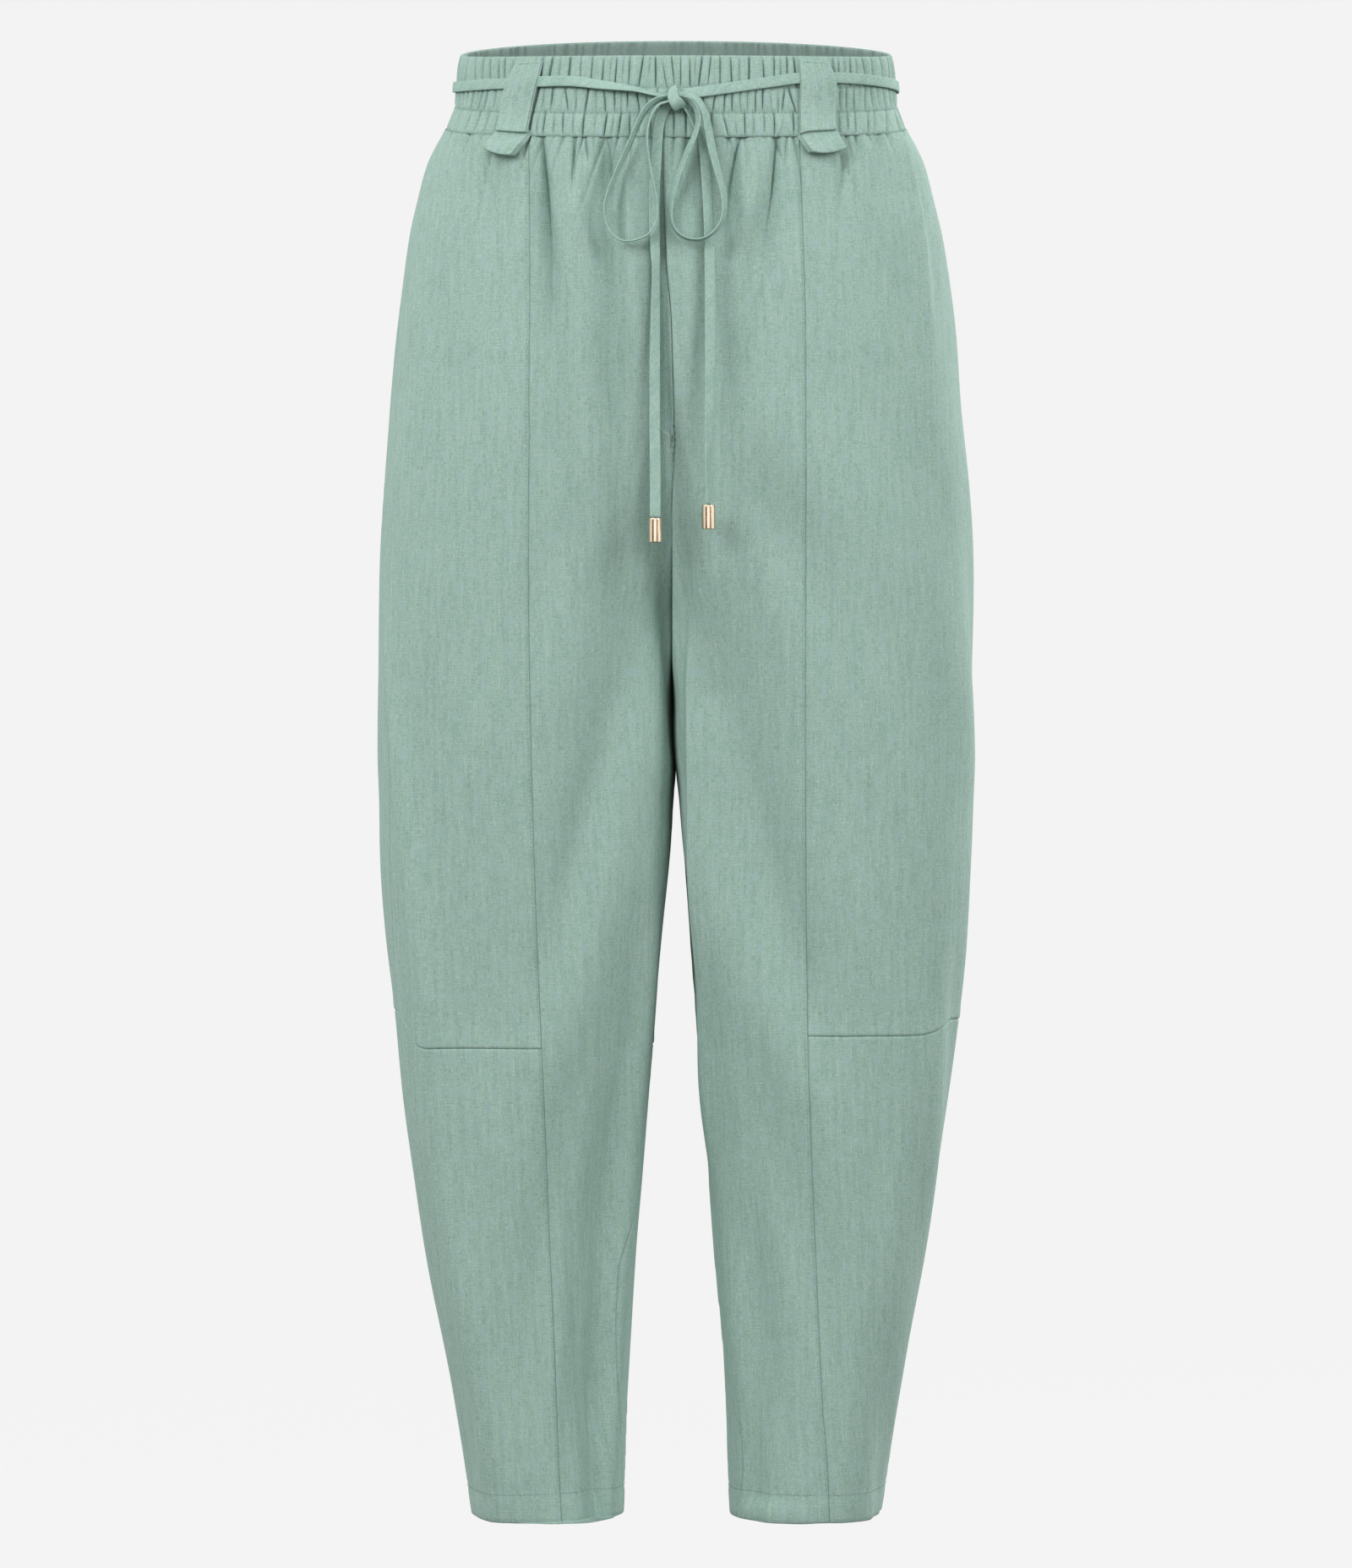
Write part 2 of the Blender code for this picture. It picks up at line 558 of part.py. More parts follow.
def tie_belt(material):
    """The tie's run, from the left of the knot round the back to its right, flat against the band."""
    sections = []
    for bearing in np.linspace(TIE_RUN_START, 360 - TIE_RUN_START, TIE_BELT_PIECES + 1):
        signed = bearing if bearing <= 180 else bearing - 360
        side, angle = by_bearing(signed)
        height = TIE_RUN.at("height", signed)
        lines = []
        for out in (TIE_CLEARANCE + TIE_CLOTH, TIE_CLEARANCE):
            edges = []
            for rise in (TIE_WIDTH / 2, -TIE_WIDTH / 2):
                point = section_point(angle, height + rise) + outward(angle, height + rise) * out
                edges.append(point * np.array((SIDES[side], 1, 1)))
            lines.append(edges)
        sections.append(tuple(lines))
    loft("tie_belt", sections, material)


def smooth_route(rows, spacing):
    """Evenly spaced points on a smooth curve through the rows."""
    rows = np.array(rows, dtype=float)
    padded = np.vstack((2 * rows[0] - rows[1], rows, 2 * rows[-1] - rows[-2]))
    fine = []
    for before, a, b, after in zip(padded[:-3], padded[1:-2], padded[2:-1], padded[3:]):
        for t in np.linspace(0, 1, ROUTE_STEPS, endpoint=False):
            bend = (2 * before - 5 * a + 4 * b - after) * t * t + (3 * a - before - 3 * b + after) * t ** 3
            fine.append(a + ((b - before) * t + bend) / 2)
    fine = np.array(fine + [rows[-1]])
    walked = np.concatenate(([0.0], np.cumsum(np.linalg.norm(np.diff(fine[:, :3], axis=0), axis=1))))
    count = max(2, round(walked[-1] / spacing) + 1)
    even = np.linspace(0, walked[-1], count)
    return np.column_stack([np.interp(even, walked, fine[:, column]) for column in range(rows.shape[1])])


def tie_stretch(name, rows, material):
    """Flat strip along a route, turned about its own line as the rows say."""
    route = smooth_route(rows, TIE_SPACING)
    tangents = np.gradient(route[:, :3], axis=0)
    into = np.array((0.0, 1.0, 0.0))
    sections = []
    for (x, y, z, turn), tangent in zip(route, tangents):
        tangent = tangent / np.linalg.norm(tangent)
        beside = np.cross(tangent, into)
        beside /= np.linalg.norm(beside)
        behind = np.cross(beside, tangent)
        turn = math.radians(turn)
        width_way = beside * math.cos(turn) + behind * math.sin(turn)
        face_way = np.cross(tangent, width_way)
        centre = np.array((x, y, z)) - face_way * (TIE_CLOTH / 2)
        sections.append(strap_section(centre, face_way, width_way, TIE_WIDTH, TIE_CLOTH))
    loft(name, sections, material)


def knot(material):
    bm = bmesh.new()
    bmesh.ops.create_cube(bm, size=1.0)
    bmesh.ops.scale(bm, vec=Vector(KNOT_SIZE) * MM, verts=bm.verts)
    made = finished("tie_knot", bm, material)
    made.location = Vector(KNOT_PLACE) * MM
    made.rotation_euler = (0, math.radians(KNOT_LEAN), 0)
    rounding = made.modifiers.new("rounding", "BEVEL")
    rounding.width = KNOT_ROUNDING * MM
    rounding.segments = 3


def cord_ends(material):
    for side, top in CORD_END_TOPS.items():
        bm = bmesh.new()
        bmesh.ops.create_cone(bm, cap_ends=True, segments=CORD_END_SIDES, radius1=CORD_END_RADIUS * MM,
                              radius2=CORD_END_RADIUS * MM, depth=CORD_END_LENGTH * MM)
        made = finished(f"cord_end_{side}", bm, material)
        made.location = (Vector(top) - Vector((0, 0, CORD_END_LENGTH / 2))) * MM
        rounding = made.modifiers.new("rounding", "BEVEL")
        rounding.width = CORD_END_ROUNDING * MM
        rounding.segments = 2
        rounding.limit_method = "ANGLE"


def new_material(name, colour, roughness, metallic):
    material = bpy.data.materials.new(name)
    material.use_nodes = True
    shader = material.node_tree.nodes["Principled BSDF"]
    shader.inputs["Base Color"].default_value = (*colour, 1.0)
    shader.inputs["Roughness"].default_value = roughness
    shader.inputs["Metallic"].default_value = metallic
    return material


def main():
    for old in list(bpy.data.objects):
        bpy.data.objects.remove(old, do_unlink=True)
    bpy.context.scene.collection.children.link(bpy.data.collections.new(COLLECTION))
    linen = new_material("linen", *LINEN)
    tie_linen = new_material("tie_linen", *TIE_LINEN)
    gold = new_material("pale_gold", *PALE_GOLD)
    legs(linen)
    waistband(linen)
    for side, places in LOOPS.items():
        front_loop(f"belt_loop_{side}", places, linen)
    back_loop("belt_loop_back", linen)
    tie_belt(tie_linen)
    knot(tie_linen)
    for name, rows in TIE_STRETCHES.items():
        tie_stretch(name, rows, tie_linen)
    cord_ends(gold)


main()
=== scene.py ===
import math

import bmesh
import bpy
import numpy as np
from mathutils import Matrix, Vector


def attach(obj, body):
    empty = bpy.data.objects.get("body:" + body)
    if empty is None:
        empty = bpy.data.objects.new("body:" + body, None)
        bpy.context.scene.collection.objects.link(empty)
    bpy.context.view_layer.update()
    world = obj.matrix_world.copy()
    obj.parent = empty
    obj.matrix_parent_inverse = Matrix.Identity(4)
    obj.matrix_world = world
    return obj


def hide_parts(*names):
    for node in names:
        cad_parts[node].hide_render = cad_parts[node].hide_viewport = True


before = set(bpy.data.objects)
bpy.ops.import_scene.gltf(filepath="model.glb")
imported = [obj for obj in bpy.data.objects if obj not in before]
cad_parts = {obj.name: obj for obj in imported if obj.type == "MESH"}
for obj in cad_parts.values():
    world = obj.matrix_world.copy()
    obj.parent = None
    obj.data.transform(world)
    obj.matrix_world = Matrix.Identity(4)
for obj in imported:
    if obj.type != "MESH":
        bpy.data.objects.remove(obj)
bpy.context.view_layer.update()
print("frame loaded,", len(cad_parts), "nodes")

# Linen drawstring trousers. Every measure is in millimetres until a mesh is written. Left is -X.
mm = 0.001
sides = {"left": -1, "right": 1}


view = {"distance": 3.5, "height": -0.458, "frameHeight": 1.0388}

camera = bpy.data.objects.new("camera", bpy.data.cameras.new("camera"))
camera.location = (0, -view["distance"], view["height"])
camera.rotation_euler = (math.radians(90), 0, 0)
camera.data.lens = camera.data.sensor_width / 2 / (view["frameHeight"] / 2 / view["distance"])
bpy.context.scene.collection.objects.link(camera)
bpy.context.scene.camera = camera
bpy.context.scene.view_settings.view_transform = "Standard"


class Wire:
    # a node's output; arithmetic on it adds Math nodes
    def __init__(self, finish, socket):
        self.finish = finish
        self.socket = socket

    def math(self, operation, *others):
        return self.finish.node("ShaderNodeMath", {"operation": operation},
                                dict(enumerate((self, *others))))["Value"]

    def turned(self, operation, other):
        return self.finish.node("ShaderNodeMath", {"operation": operation}, {0: other, 1: self})["Value"]

    def __add__(self, other):
        return self.math("ADD", other)

    def __sub__(self, other):
        return self.math("SUBTRACT", other)

    def __mul__(self, other):
        return self.math("MULTIPLY", other)

    def __rsub__(self, other):
        return self.turned("SUBTRACT", other)

    __radd__ = __add__
    __rmul__ = __mul__


class Outputs(dict):
    def __init__(self, finish, node):
        super().__init__((socket.name, Wire(finish, socket))
                         for socket in reversed(node.outputs) if socket.enabled)


class Finish:
    # a material and its nodes
    def __init__(self, name):
        self.material = bpy.data.materials.new(name)
        self.material.use_nodes = True
        self.tree = self.material.node_tree
        self.shader = self.tree.nodes["Principled BSDF"]

    def node(self, kind, settings=None, values=None):
        made = self.tree.nodes.new(kind)
        for name, value in (settings or {}).items():
            if name == "stops":
                self.setStops(made.color_ramp, value)
            else:
                setattr(made, name, value)
        for name, value in (values or {}).items():
            socket = made.inputs[name]
            if isinstance(value, Wire):
                self.tree.links.new(value.socket, socket)
            else:
                socket.default_value = value
        return Outputs(self, made)

    def setStops(self, ramp, stops):
        while len(ramp.elements) < len(stops):
            ramp.elements.new(0.5)
        for element, (place, shade) in zip(ramp.elements, stops):
            element.position = place
            element.color = (shade, shade, shade, 1) if isinstance(shade, float) else (*shade, 1)

    def noise(self, vector, scale=1.0, detail=2.0, roughness=0.5):
        values = {"Vector": vector, "Scale": scale, "Detail": detail, "Roughness": roughness}
        return self.node("ShaderNodeTexNoise", {}, values)["Fac"]

    def stretched(self, u, v, uScale, vScale, layer=0.0):
        return self.node("ShaderNodeCombineXYZ", {}, {0: u * uScale, 1: v * vScale, 2: layer})["Vector"]

    def ramp(self, amount, stops):
        return self.node("ShaderNodeValToRGB", {"stops": stops}, {"Fac": amount})["Color"]

    def mix(self, amount, first, second):
        values = {0: amount, 6: first if isinstance(first, Wire) else (*first, 1),
                  7: second if isinstance(second, Wire) else (*second, 1)}
        return self.node("ShaderNodeMix", {"data_type": "RGBA"}, values)["Result"]

    def spread(self, amount, low, high, start=0.0, end=1.0):
        values = {"Value": amount, 1: low, 2: high, 3: start, 4: end}
        return self.node("ShaderNodeMapRange", {"clamp": True}, values)["Result"]

    def set(self, **values):
        for name, value in values.items():
            plain = {"colour": "Base Color", "normal": "Normal"}.get(name, name.replace("_", " "))
            socket = self.shader.inputs[plain]
            if isinstance(value, Wire):
                self.tree.links.new(value.socket, socket)
            elif isinstance(value, tuple):
                socket.default_value = (*value, 1)
            else:
                socket.default_value = value


# painted shade: the darkest green here is laid into creases and along seams
linenCloth = {"deep": (0.244, 0.366, 0.324), "base": (0.330, 0.455, 0.400), "pale": (0.424, 0.536, 0.472),
              "cool": (0.322, 0.456, 0.462), "roughness": 0.9, "sheen": 0.05, "warpPitch": 1900,
              "slubPitch": 1500, "weaveDepth": 0.00035, "paintedCreaseShadeDepth": 0.68,
              # painted shade: the grey green on the next line darkens the inside of the waistband
              "paintedCreaseShadeColour": (0.060, 0.120, 0.095), "paintedInsideShade": (0.13, 0.165, 0.155), "paintedInsideShadeShare": 0.60,
              "coolShare": 0.50, "weaveStrength": 0.55}


def linen(name, cloth, turn=0.0, inside=None):
    finish = Finish(name)
    grain = finish.node("ShaderNodeUVMap", {"uv_map": "grain"})["UV"]
    if turn:
        grain = finish.node("ShaderNodeVectorRotate", {"rotation_type": "Z_AXIS"},
                            {"Vector": grain, "Angle": turn})
        grain = grain["Vector"]
    split = finish.node("ShaderNodeSeparateXYZ", {}, {"Vector": grain})
    across, along = split["X"], split["Y"]
    pitch, slub = cloth["warpPitch"], cloth["slubPitch"]
    warp = finish.noise(finish.stretched(across, along, pitch, 330), detail=2.0)
    weft = finish.noise(finish.stretched(across, along, 290, pitch, 4.0), detail=2.0)
    # thick places in single threads, long and narrow, in both directions
    slubDown = finish.noise(finish.stretched(across, along, slub, 80, 9.0), detail=1.0)
    slubOver = finish.noise(finish.stretched(across, along, 70, slub * 1.1, 13.0), detail=1.0)
    streaks = finish.noise(finish.stretched(across, along, 330, 20, 21.0), detail=2.0)
    patches = finish.noise(finish.stretched(across, along, 210, 95, 30.0), detail=3.0)
    slubs = finish.spread(slubDown, 0.62, 0.80) + finish.spread(slubOver, 0.62, 0.80)
    tone = (warp * 0.95 + weft * 0.85 + (slubDown - 0.5) * 0.42 + (slubOver - 0.5) * 0.32
            + (streaks - 0.5) * 0.50)
    tone = tone + (patches - 0.5) * 0.30 + slubs * 0.20 - 0.44
    colour = finish.ramp(tone, [(0.20, cloth["deep"]), (0.5, cloth["base"]), (0.82, cloth["pale"])])
    colour = finish.mix(finish.spread(patches, 0.48, 0.68) * cloth["coolShare"], colour, cloth["cool"])
    # painted shade: the base colour darkens towards a dark green by the per-point crease attribute, where the
    # cloth lies in a crease or along a seam
    crease = finish.node("ShaderNodeAttribute", {"attribute_name": "crease"})["Fac"]
    colour = finish.mix(crease * cloth["paintedCreaseShadeDepth"], colour, cloth["paintedCreaseShadeColour"])
    if inside:  # painted shade on the inside of the waistband, past this length along the grain
        paintedInsideShadeAmount = finish.spread(along, inside, inside + 0.002) * cloth["paintedInsideShadeShare"]
        colour = finish.mix(paintedInsideShadeAmount, colour, cloth["paintedInsideShade"])
    height = warp * 0.5 + weft * 0.5 + slubs * 0.6
    bump = finish.node("ShaderNodeBump", {}, {"Strength": cloth["weaveStrength"],
                                              "Distance": cloth["weaveDepth"], "Height": height})
    finish.set(colour=colour, Roughness=cloth["roughness"], normal=bump["Normal"],
               Sheen_Weight=cloth["sheen"], Sheen_Roughness=0.45, Specular_IOR_Level=0.12)
    return finish.material


linenMaterial = linen("linen", linenCloth)
tieCloth = dict(linenCloth, deep=(0.262, 0.402, 0.352), base=(0.348, 0.486, 0.424),
                pale=(0.446, 0.572, 0.506), warpPitch=2100, slubPitch=1900)
tieMaterial = linen("tieLinen", tieCloth, turn=math.radians(45))
# the inside of the band gets painted shade, darker and greyer
bandMaterial = linen("bandLinen", linenCloth, inside=0.0520)


def sewingThread():
    finish = Finish("sewingThread")
    place = finish.node("ShaderNodeTexCoord")["Object"]
    shade = finish.noise(place, scale=900, detail=1.0)
    finish.set(colour=finish.mix(shade, (0.215, 0.335, 0.285), (0.300, 0.430, 0.370)), Roughness=0.7)
    return finish.material


threadMaterial = sewingThread()


def polishedGold():
    finish = Finish("paleGold")
    place = finish.node("ShaderNodeTexCoord")["Object"]
    brushed = finish.noise(finish.node("ShaderNodeMapping", {},
                                       {"Vector": place, "Scale": (2500, 2500, 120)})["Vector"])
    cloud = finish.noise(place, scale=160)
    rough = finish.spread(brushed, 0.3, 0.7, 0.15, 0.23) + finish.spread(cloud, 0.4, 0.8, 0.0, 0.05)
    finish.set(colour=finish.mix(cloud, (0.80, 0.62, 0.46), (0.86, 0.69, 0.54)), Metallic=1.0,
               Roughness=rough)
    return finish.material


goldMaterial = polishedGold()
print("materials made")


class Curves:
    # smooth curves through given rows, which never overshoot a row
    def __init__(self, names, rows):
        ordered = np.array(sorted(rows), dtype=float)
        self.keys = ordered[:, 0]
        self.columns = dict(zip(names, ordered.T))
        self.slopes = {name: self.slopesOf(column) for name, column in self.columns.items()}

    def slopesOf(self, column):
        secants = np.diff(column) / np.diff(self.keys)
        before, after = secants[:-1], secants[1:]
        same = before * after > 0
        inner = np.where(same, 2 * before * after / np.where(same, before + after, 1), 0)
        return np.concatenate((secants[:1], inner, secants[-1:]))

    def at(self, name, key):
        key = np.clip(key, self.keys[0], self.keys[-1])
        i = np.clip(np.searchsorted(self.keys, key, side="right") - 1, 0, len(self.keys) - 2)
        span = self.keys[i + 1] - self.keys[i]
        t = (key - self.keys[i]) / span
        values, slopes = self.columns[name], self.slopes[name]
        bend = slopes[i] * span * t * (1 - t) ** 2 - slopes[i + 1] * span * t * t * (1 - t)
        return values[i] + (values[i + 1] - values[i]) * t * t * (3 - 2 * t) + bend


def eased(value):
    value = np.clip(value, 0.0, 1.0)
    return value * value * (3 - 2 * value)


def smoothRoute(rows, spacing):
    # evenly spaced points on a smooth curve through the rows
    rows = np.array(rows, dtype=float)
    padded = np.vstack((2 * rows[0] - rows[1], rows, 2 * rows[-1] - rows[-2]))
    fine = []
    for before, a, b, after in zip(padded[:-3], padded[1:-2], padded[2:-1], padded[3:]):
        for t in np.linspace(0, 1, 12, endpoint=False):
            bend = (2 * before - 5 * a + 4 * b - after) * t * t + (3 * a - before - 3 * b + after) * t ** 3
            fine.append(a + ((b - before) * t + bend) / 2)
    fine = np.array(fine + [rows[-1]])
    walked = np.concatenate(([0.0], np.cumsum(np.linalg.norm(np.diff(fine[:, :3], axis=0), axis=1))))
    even = np.linspace(0, walked[-1], max(2, round(walked[-1] / spacing) + 1))
    spaced = [np.interp(even, walked, fine[:, column]) for column in range(rows.shape[1])]
    return np.column_stack(spaced), walked[-1]


def ridden(piece, material, slot, *nodes):
    piece.data.materials.append(material)
    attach(piece, "root")
    if nodes:
        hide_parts(*nodes)
    return piece


def gridPiece(name, points, grain, outwards=None, joined=False, capped=False, crease=None):
    # a grid whose corners take the given points, by row and column, and the grain's own places; the last
    # argument is the painted shade each point gets where it lies in a crease or by a seam
    rows, columns = points.shape[0] - 1, points.shape[1] - 1
    bm = bmesh.new()
    bmesh.ops.create_grid(bm, x_segments=columns, y_segments=rows, size=1.0)
    mesh = bpy.data.meshes.new(name)
    bm.to_mesh(mesh)
    flat = np.empty(len(mesh.vertices) * 3)
    mesh.vertices.foreach_get("co", flat)
    flat = flat.reshape(-1, 3)
    column = np.rint((flat[:, 0] + 1) / 2 * columns).astype(int)
    row = np.rint((1 - flat[:, 1]) / 2 * rows).astype(int)
    mesh.vertices.foreach_set("co", (points[row, column] * mm).ravel())
    corner = np.empty(len(mesh.loops), dtype=np.int32)
    mesh.loops.foreach_get("vertex_index", corner)
    mesh.uv_layers.new(name="grain").data.foreach_set("uv", (grain[row, column][corner] * mm).ravel())
    # painted shade for creases, kept on the mesh as a point attribute
    if crease is not None:
        shade = np.clip(crease[row, column], 0, 1)
        mesh.attributes.new("crease", "FLOAT", "POINT").data.foreach_set("value", shade)
    mesh.update()
    if outwards is not None:
        normals = np.empty(len(mesh.vertices) * 3)
        mesh.vertices.foreach_get("normal", normals)
        if (normals.reshape(-1, 3) * outwards[row, column]).sum() < 0:
            mesh.flip_normals()
    bm.clear()
    if joined or capped:
        bm.from_mesh(mesh)
        bmesh.ops.remove_doubles(bm, verts=bm.verts, dist=1e-7)
        if capped:
            bmesh.ops.holes_fill(bm, edges=[edge for edge in bm.edges if edge.is_boundary], sides=0)
        bmesh.ops.recalc_face_normals(bm, faces=bm.faces)
        bm.to_mesh(mesh)
    bm.free()
    mesh.shade_smooth()
    piece = bpy.data.objects.new(name, mesh)
    bpy.context.scene.collection.objects.link(piece)
    return piece


def solidify(piece, thickness):
    wall = piece.modifiers.new("wall", "SOLIDIFY")
    wall.thickness = thickness * mm
    wall.offset = -1
    return piece


tie = {"width": 7.0, "cloth": 1.4, "spacing": 1.8}
tieRoutes = {
    "tie_bow_left": (
        (-6.6, -109.9, -17.8, 70), (-11.7, -111.3, -19.1, 66), (-16.0, -112.5, -21.8, 64),
        (-20.3, -113.0, -26.7, 64), (-24.7, -113.5, -35.4, 66), (-29.0, -113.8, -45.7, 66),
        (-33.4, -114.0, -55.4, 68), (-41.0, -114.5, -72.8, 72), (-44.8, -114.8, -83.7, 78),
        (-45.8, -115.0, -91.2, 82), (-44.2, -115.6, -99.4, 84), (-40.4, -116.3, -105.9, 84),
        (-35.0, -117.2, -109.7, 84), (-29.0, -118.0, -110.2, 84), (-22.5, -118.8, -108.6, 84),
        (-17.1, -119.3, -105.4, 84), (-13.3, -119.1, -98.3, 84), (-12.2, -118.5, -90.2, 84),
        (-13.3, -117.6, -79.3, 84), (-16.0, -116.8, -66.8, 84), (-18.2, -116.0, -53.3, 82),
        (-18.7, -115.4, -41.3, 80), (-17.1, -114.6, -32.1, 78), (-14.4, -113.9, -26.1, 76),
        (-11.1, -113.2, -22.3, 76), (-6.9, -112.5, -20.6, 76),
    ),
    "tie_bow_right": (
        (5.6, -110.5, -14.7, 64), (9.0, -111.4, -15.8, 58), (13.3, -112.2, -18.5, 54),
        (16.5, -112.8, -23.4, 50), (19.3, -113.2, -30.5, 48), (20.9, -113.5, -38.6, 46),
        (22.5, -113.8, -47.8, 46), (24.7, -114.2, -57.6, 48), (27.4, -114.6, -67.4, 52),
        (30.1, -115.0, -77.1, 56), (31.2, -115.4, -86.4, 62), (30.4, -116.2, -94.5, 70),
        (26.9, -117.4, -101.6, 78), (21.4, -118.4, -107.0, 82), (14.4, -118.4, -109.7, 84),
        (6.8, -117.6, -108.6, 84), (0.8, -116.8, -104.8, 82), (-3.0, -116.2, -97.8, 76),
        (-3.5, -115.8, -89.1, 68), (-1.4, -115.5, -77.1, 62), (3.0, -115.3, -63.6, 60),
        (7.9, -115.0, -51.1, 60), (11.7, -114.8, -43.0, 62), (13.8, -114.4, -35.4, 64),
        (14.1, -114.0, -29.4, 66), (12.2, -113.4, -24.0, 68), (8.8, -112.8, -19.8, 70),
        (5.6, -112.2, -18.4, 70),
    ),
    "tie_end_left": (
        (-6.9, -107.6, -23.8, 8), (-9.0, -107.7, -27.4, 10), (-10.4, -107.8, -31.5, 10),
        (-11.4, -108.1, -37.0, 8), (-11.9, -108.6, -44.0, 8), (-12.6, -109.7, -54.9, 8),
        (-13.4, -111.2, -68.5, 8), (-13.9, -112.2, -82.0, 6), (-13.9, -112.7, -95.6, 6),
        (-13.7, -113.3, -108.0, 12), (-13.2, -114.4, -119.0, 32), (-12.9, -115.4, -131.0, 48),
        (-13.2, -115.2, -156.9, 34), (-13.6, -114.6, -193.3, 16), (-13.6, -114.0, -225.8, 8),
        (-13.3, -113.6, -258.4, 4), (-13.3, -113.2, -287.3, 0),
    ),
    "tie_end_right": (
        (6.9, -107.4, -24.4, 66), (10.0, -107.5, -29.6, 62), (13.3, -107.8, -35.9, 50),
        (16.2, -108.3, -43.0, 38), (18.0, -109.3, -52.2, 28), (19.0, -110.4, -63.0, 24),
        (20.1, -111.6, -79.3, 22), (20.9, -112.4, -94.5, 20), (21.4, -112.9, -109.2, 16),
        (21.7, -113.4, -128.1, 12), (21.9, -113.6, -145.0, 12), (21.9, -113.8, -181.3, 16),
        (21.3, -113.8, -225.8, 36), (20.6, -113.8, -258.4, 62), (20.9, -113.8, -278.9, 72),
    ),
}


def stripSection(width, cloth, steps=16):
    # a folded strip seen end-on, as offsets across it and out of it: one edge is the fold, the other is
    # stitched
    angle = np.linspace(0, 2 * np.pi, steps + 1)
    across = np.sign(np.cos(angle)) * np.abs(np.cos(angle)) ** 0.45 * width / 2
    out = np.sign(np.sin(angle)) * np.abs(np.sin(angle)) ** 0.7 * cloth / 2
    out = out * (1 - 0.28 * np.exp(-((across + width / 2 - 1.3) / 0.6) ** 2))
    walked = np.concatenate(([0.0], np.cumsum(np.hypot(np.diff(across), np.diff(out)))))
    return across, out, walked


def sweptStrip(name, centres, widthWays, faceWays, width, cloth):
    across, out, walked = stripSection(width, cloth)
    points = centres[:, None] + widthWays[:, None] * across[:, None] + faceWays[:, None] * out[:, None]
    lengths = np.concatenate(([0.0], np.cumsum(np.linalg.norm(np.diff(centres, axis=0), axis=1))))
    grain = np.stack(np.broadcast_arrays(lengths[:, None], walked), axis=-1)
    return gridPiece(name, points, grain, joined=True, capped=True)


def unit(vectors):
    return vectors / np.linalg.norm(vectors, axis=-1, keepdims=True)


def turnedWays(route):
    # how the strip lies at each point of its route: its width's way and its face's way
    tangents = unit(np.gradient(route[:, :3], axis=0))
    beside = unit(np.cross(tangents, (0.0, 1.0, 0.0)))
    behind = np.cross(beside, tangents)
    turn = np.radians(route[:, 3:4])
    widthWays = beside * np.cos(turn) + behind * np.sin(turn)
    return widthWays, np.cross(tangents, widthWays)


def tieStretch(name):
    route, length = smoothRoute(tieRoutes[name], tie["spacing"])
    widthWays, faceWays = turnedWays(route)
    strip = sweptStrip(name + "_strip", route[:, :3], widthWays, faceWays, tie["width"], tie["cloth"])
    return ridden(strip, tieMaterial, "tie_linen", name), route, length * mm


tieStrips = {name: tieStretch(name) for name in tieRoutes}

cordEnds = {"radius": 4.4, "length": 15.4, "wall": 0.7, "edge": 0.45, "mouth": 2.2,
            "tops": {"left": (-13.3, -113.2, -287.7), "right": (20.9, -113.8, -279.3)}}


def cordEnd(side):
    # a turned tube: its profile spun about its own line, open at the top where the tie goes in
    radius, length, edge, wall = (cordEnds[key] for key in ("radius", "length", "edge", "wall"))
    inside = radius - wall
    profile = [(0, -length + 0.5), (radius * 0.55, -length + 0.45), (radius * 0.72, -length + 0.1),
               (radius - edge, -length), (radius - edge * 0.3, -length + edge * 0.3),
               (radius, -length + edge),
               (radius, -length * 0.5), (radius, -1.5), (radius, -1.42), (radius - 0.12, -1.34),
               (radius - 0.12, -1.26), (radius, -1.18), (radius, -edge), (radius - edge * 0.3, -edge * 0.3),
               (radius - edge, 0), (inside, -0.25), (inside - 0.15, -2.0), (0, -cordEnds["mouth"])]
    bm = bmesh.new()
    verts = [bm.verts.new((x, 0, z)) for x, z in profile]
    edges = [bm.edges.new(pair) for pair in zip(verts, verts[1:])]
    bmesh.ops.spin(bm, geom=verts + edges, cent=(0, 0, 0), axis=(0, 0, 1), angle=2 * math.pi, steps=64,
                   use_merge=True)
    bmesh.ops.remove_doubles(bm, verts=bm.verts, dist=1e-4)
    bmesh.ops.recalc_face_normals(bm, faces=bm.faces)
    bmesh.ops.translate(bm, verts=bm.verts, vec=Vector(cordEnds["tops"][side]))
    bmesh.ops.scale(bm, vec=(mm, mm, mm), verts=bm.verts)
    mesh = bpy.data.meshes.new("metal_end_" + side)
    bm.to_mesh(mesh)
    bm.free()
    mesh.shade_smooth()
    mesh.set_sharp_from_angle(angle=math.radians(35))
    piece = bpy.data.objects.new("metal_end_" + side, mesh)
    bpy.context.scene.collection.objects.link(piece)
    return ridden(piece, goldMaterial, "pale_gold", "cord_end_" + side)


metalEnds = {side: cordEnd(side) for side in sides}

for name, (strip, route, length) in tieStrips.items():
    side = name.split("_")[-1]
    isEnd = "end" in name
    route[0, :3] * mm
    [tuple(point) for point in route[:, :3] * mm]
print("camera and tie made")


cloth = {"roundness": 2.3, "press": 0.08, "shell": 0.8, "tuck": 2.6}
levels = {"bandTop": (10.3, 25.0, 48.3), "waist": (-42.5, -23.0, -2.0), "crotch": -302.0,
          "knee": {"left": (-630.0, -607.0), "right": (-622.0, -613.0)}, "hemTurn": -921.0, "hem": -940.0}

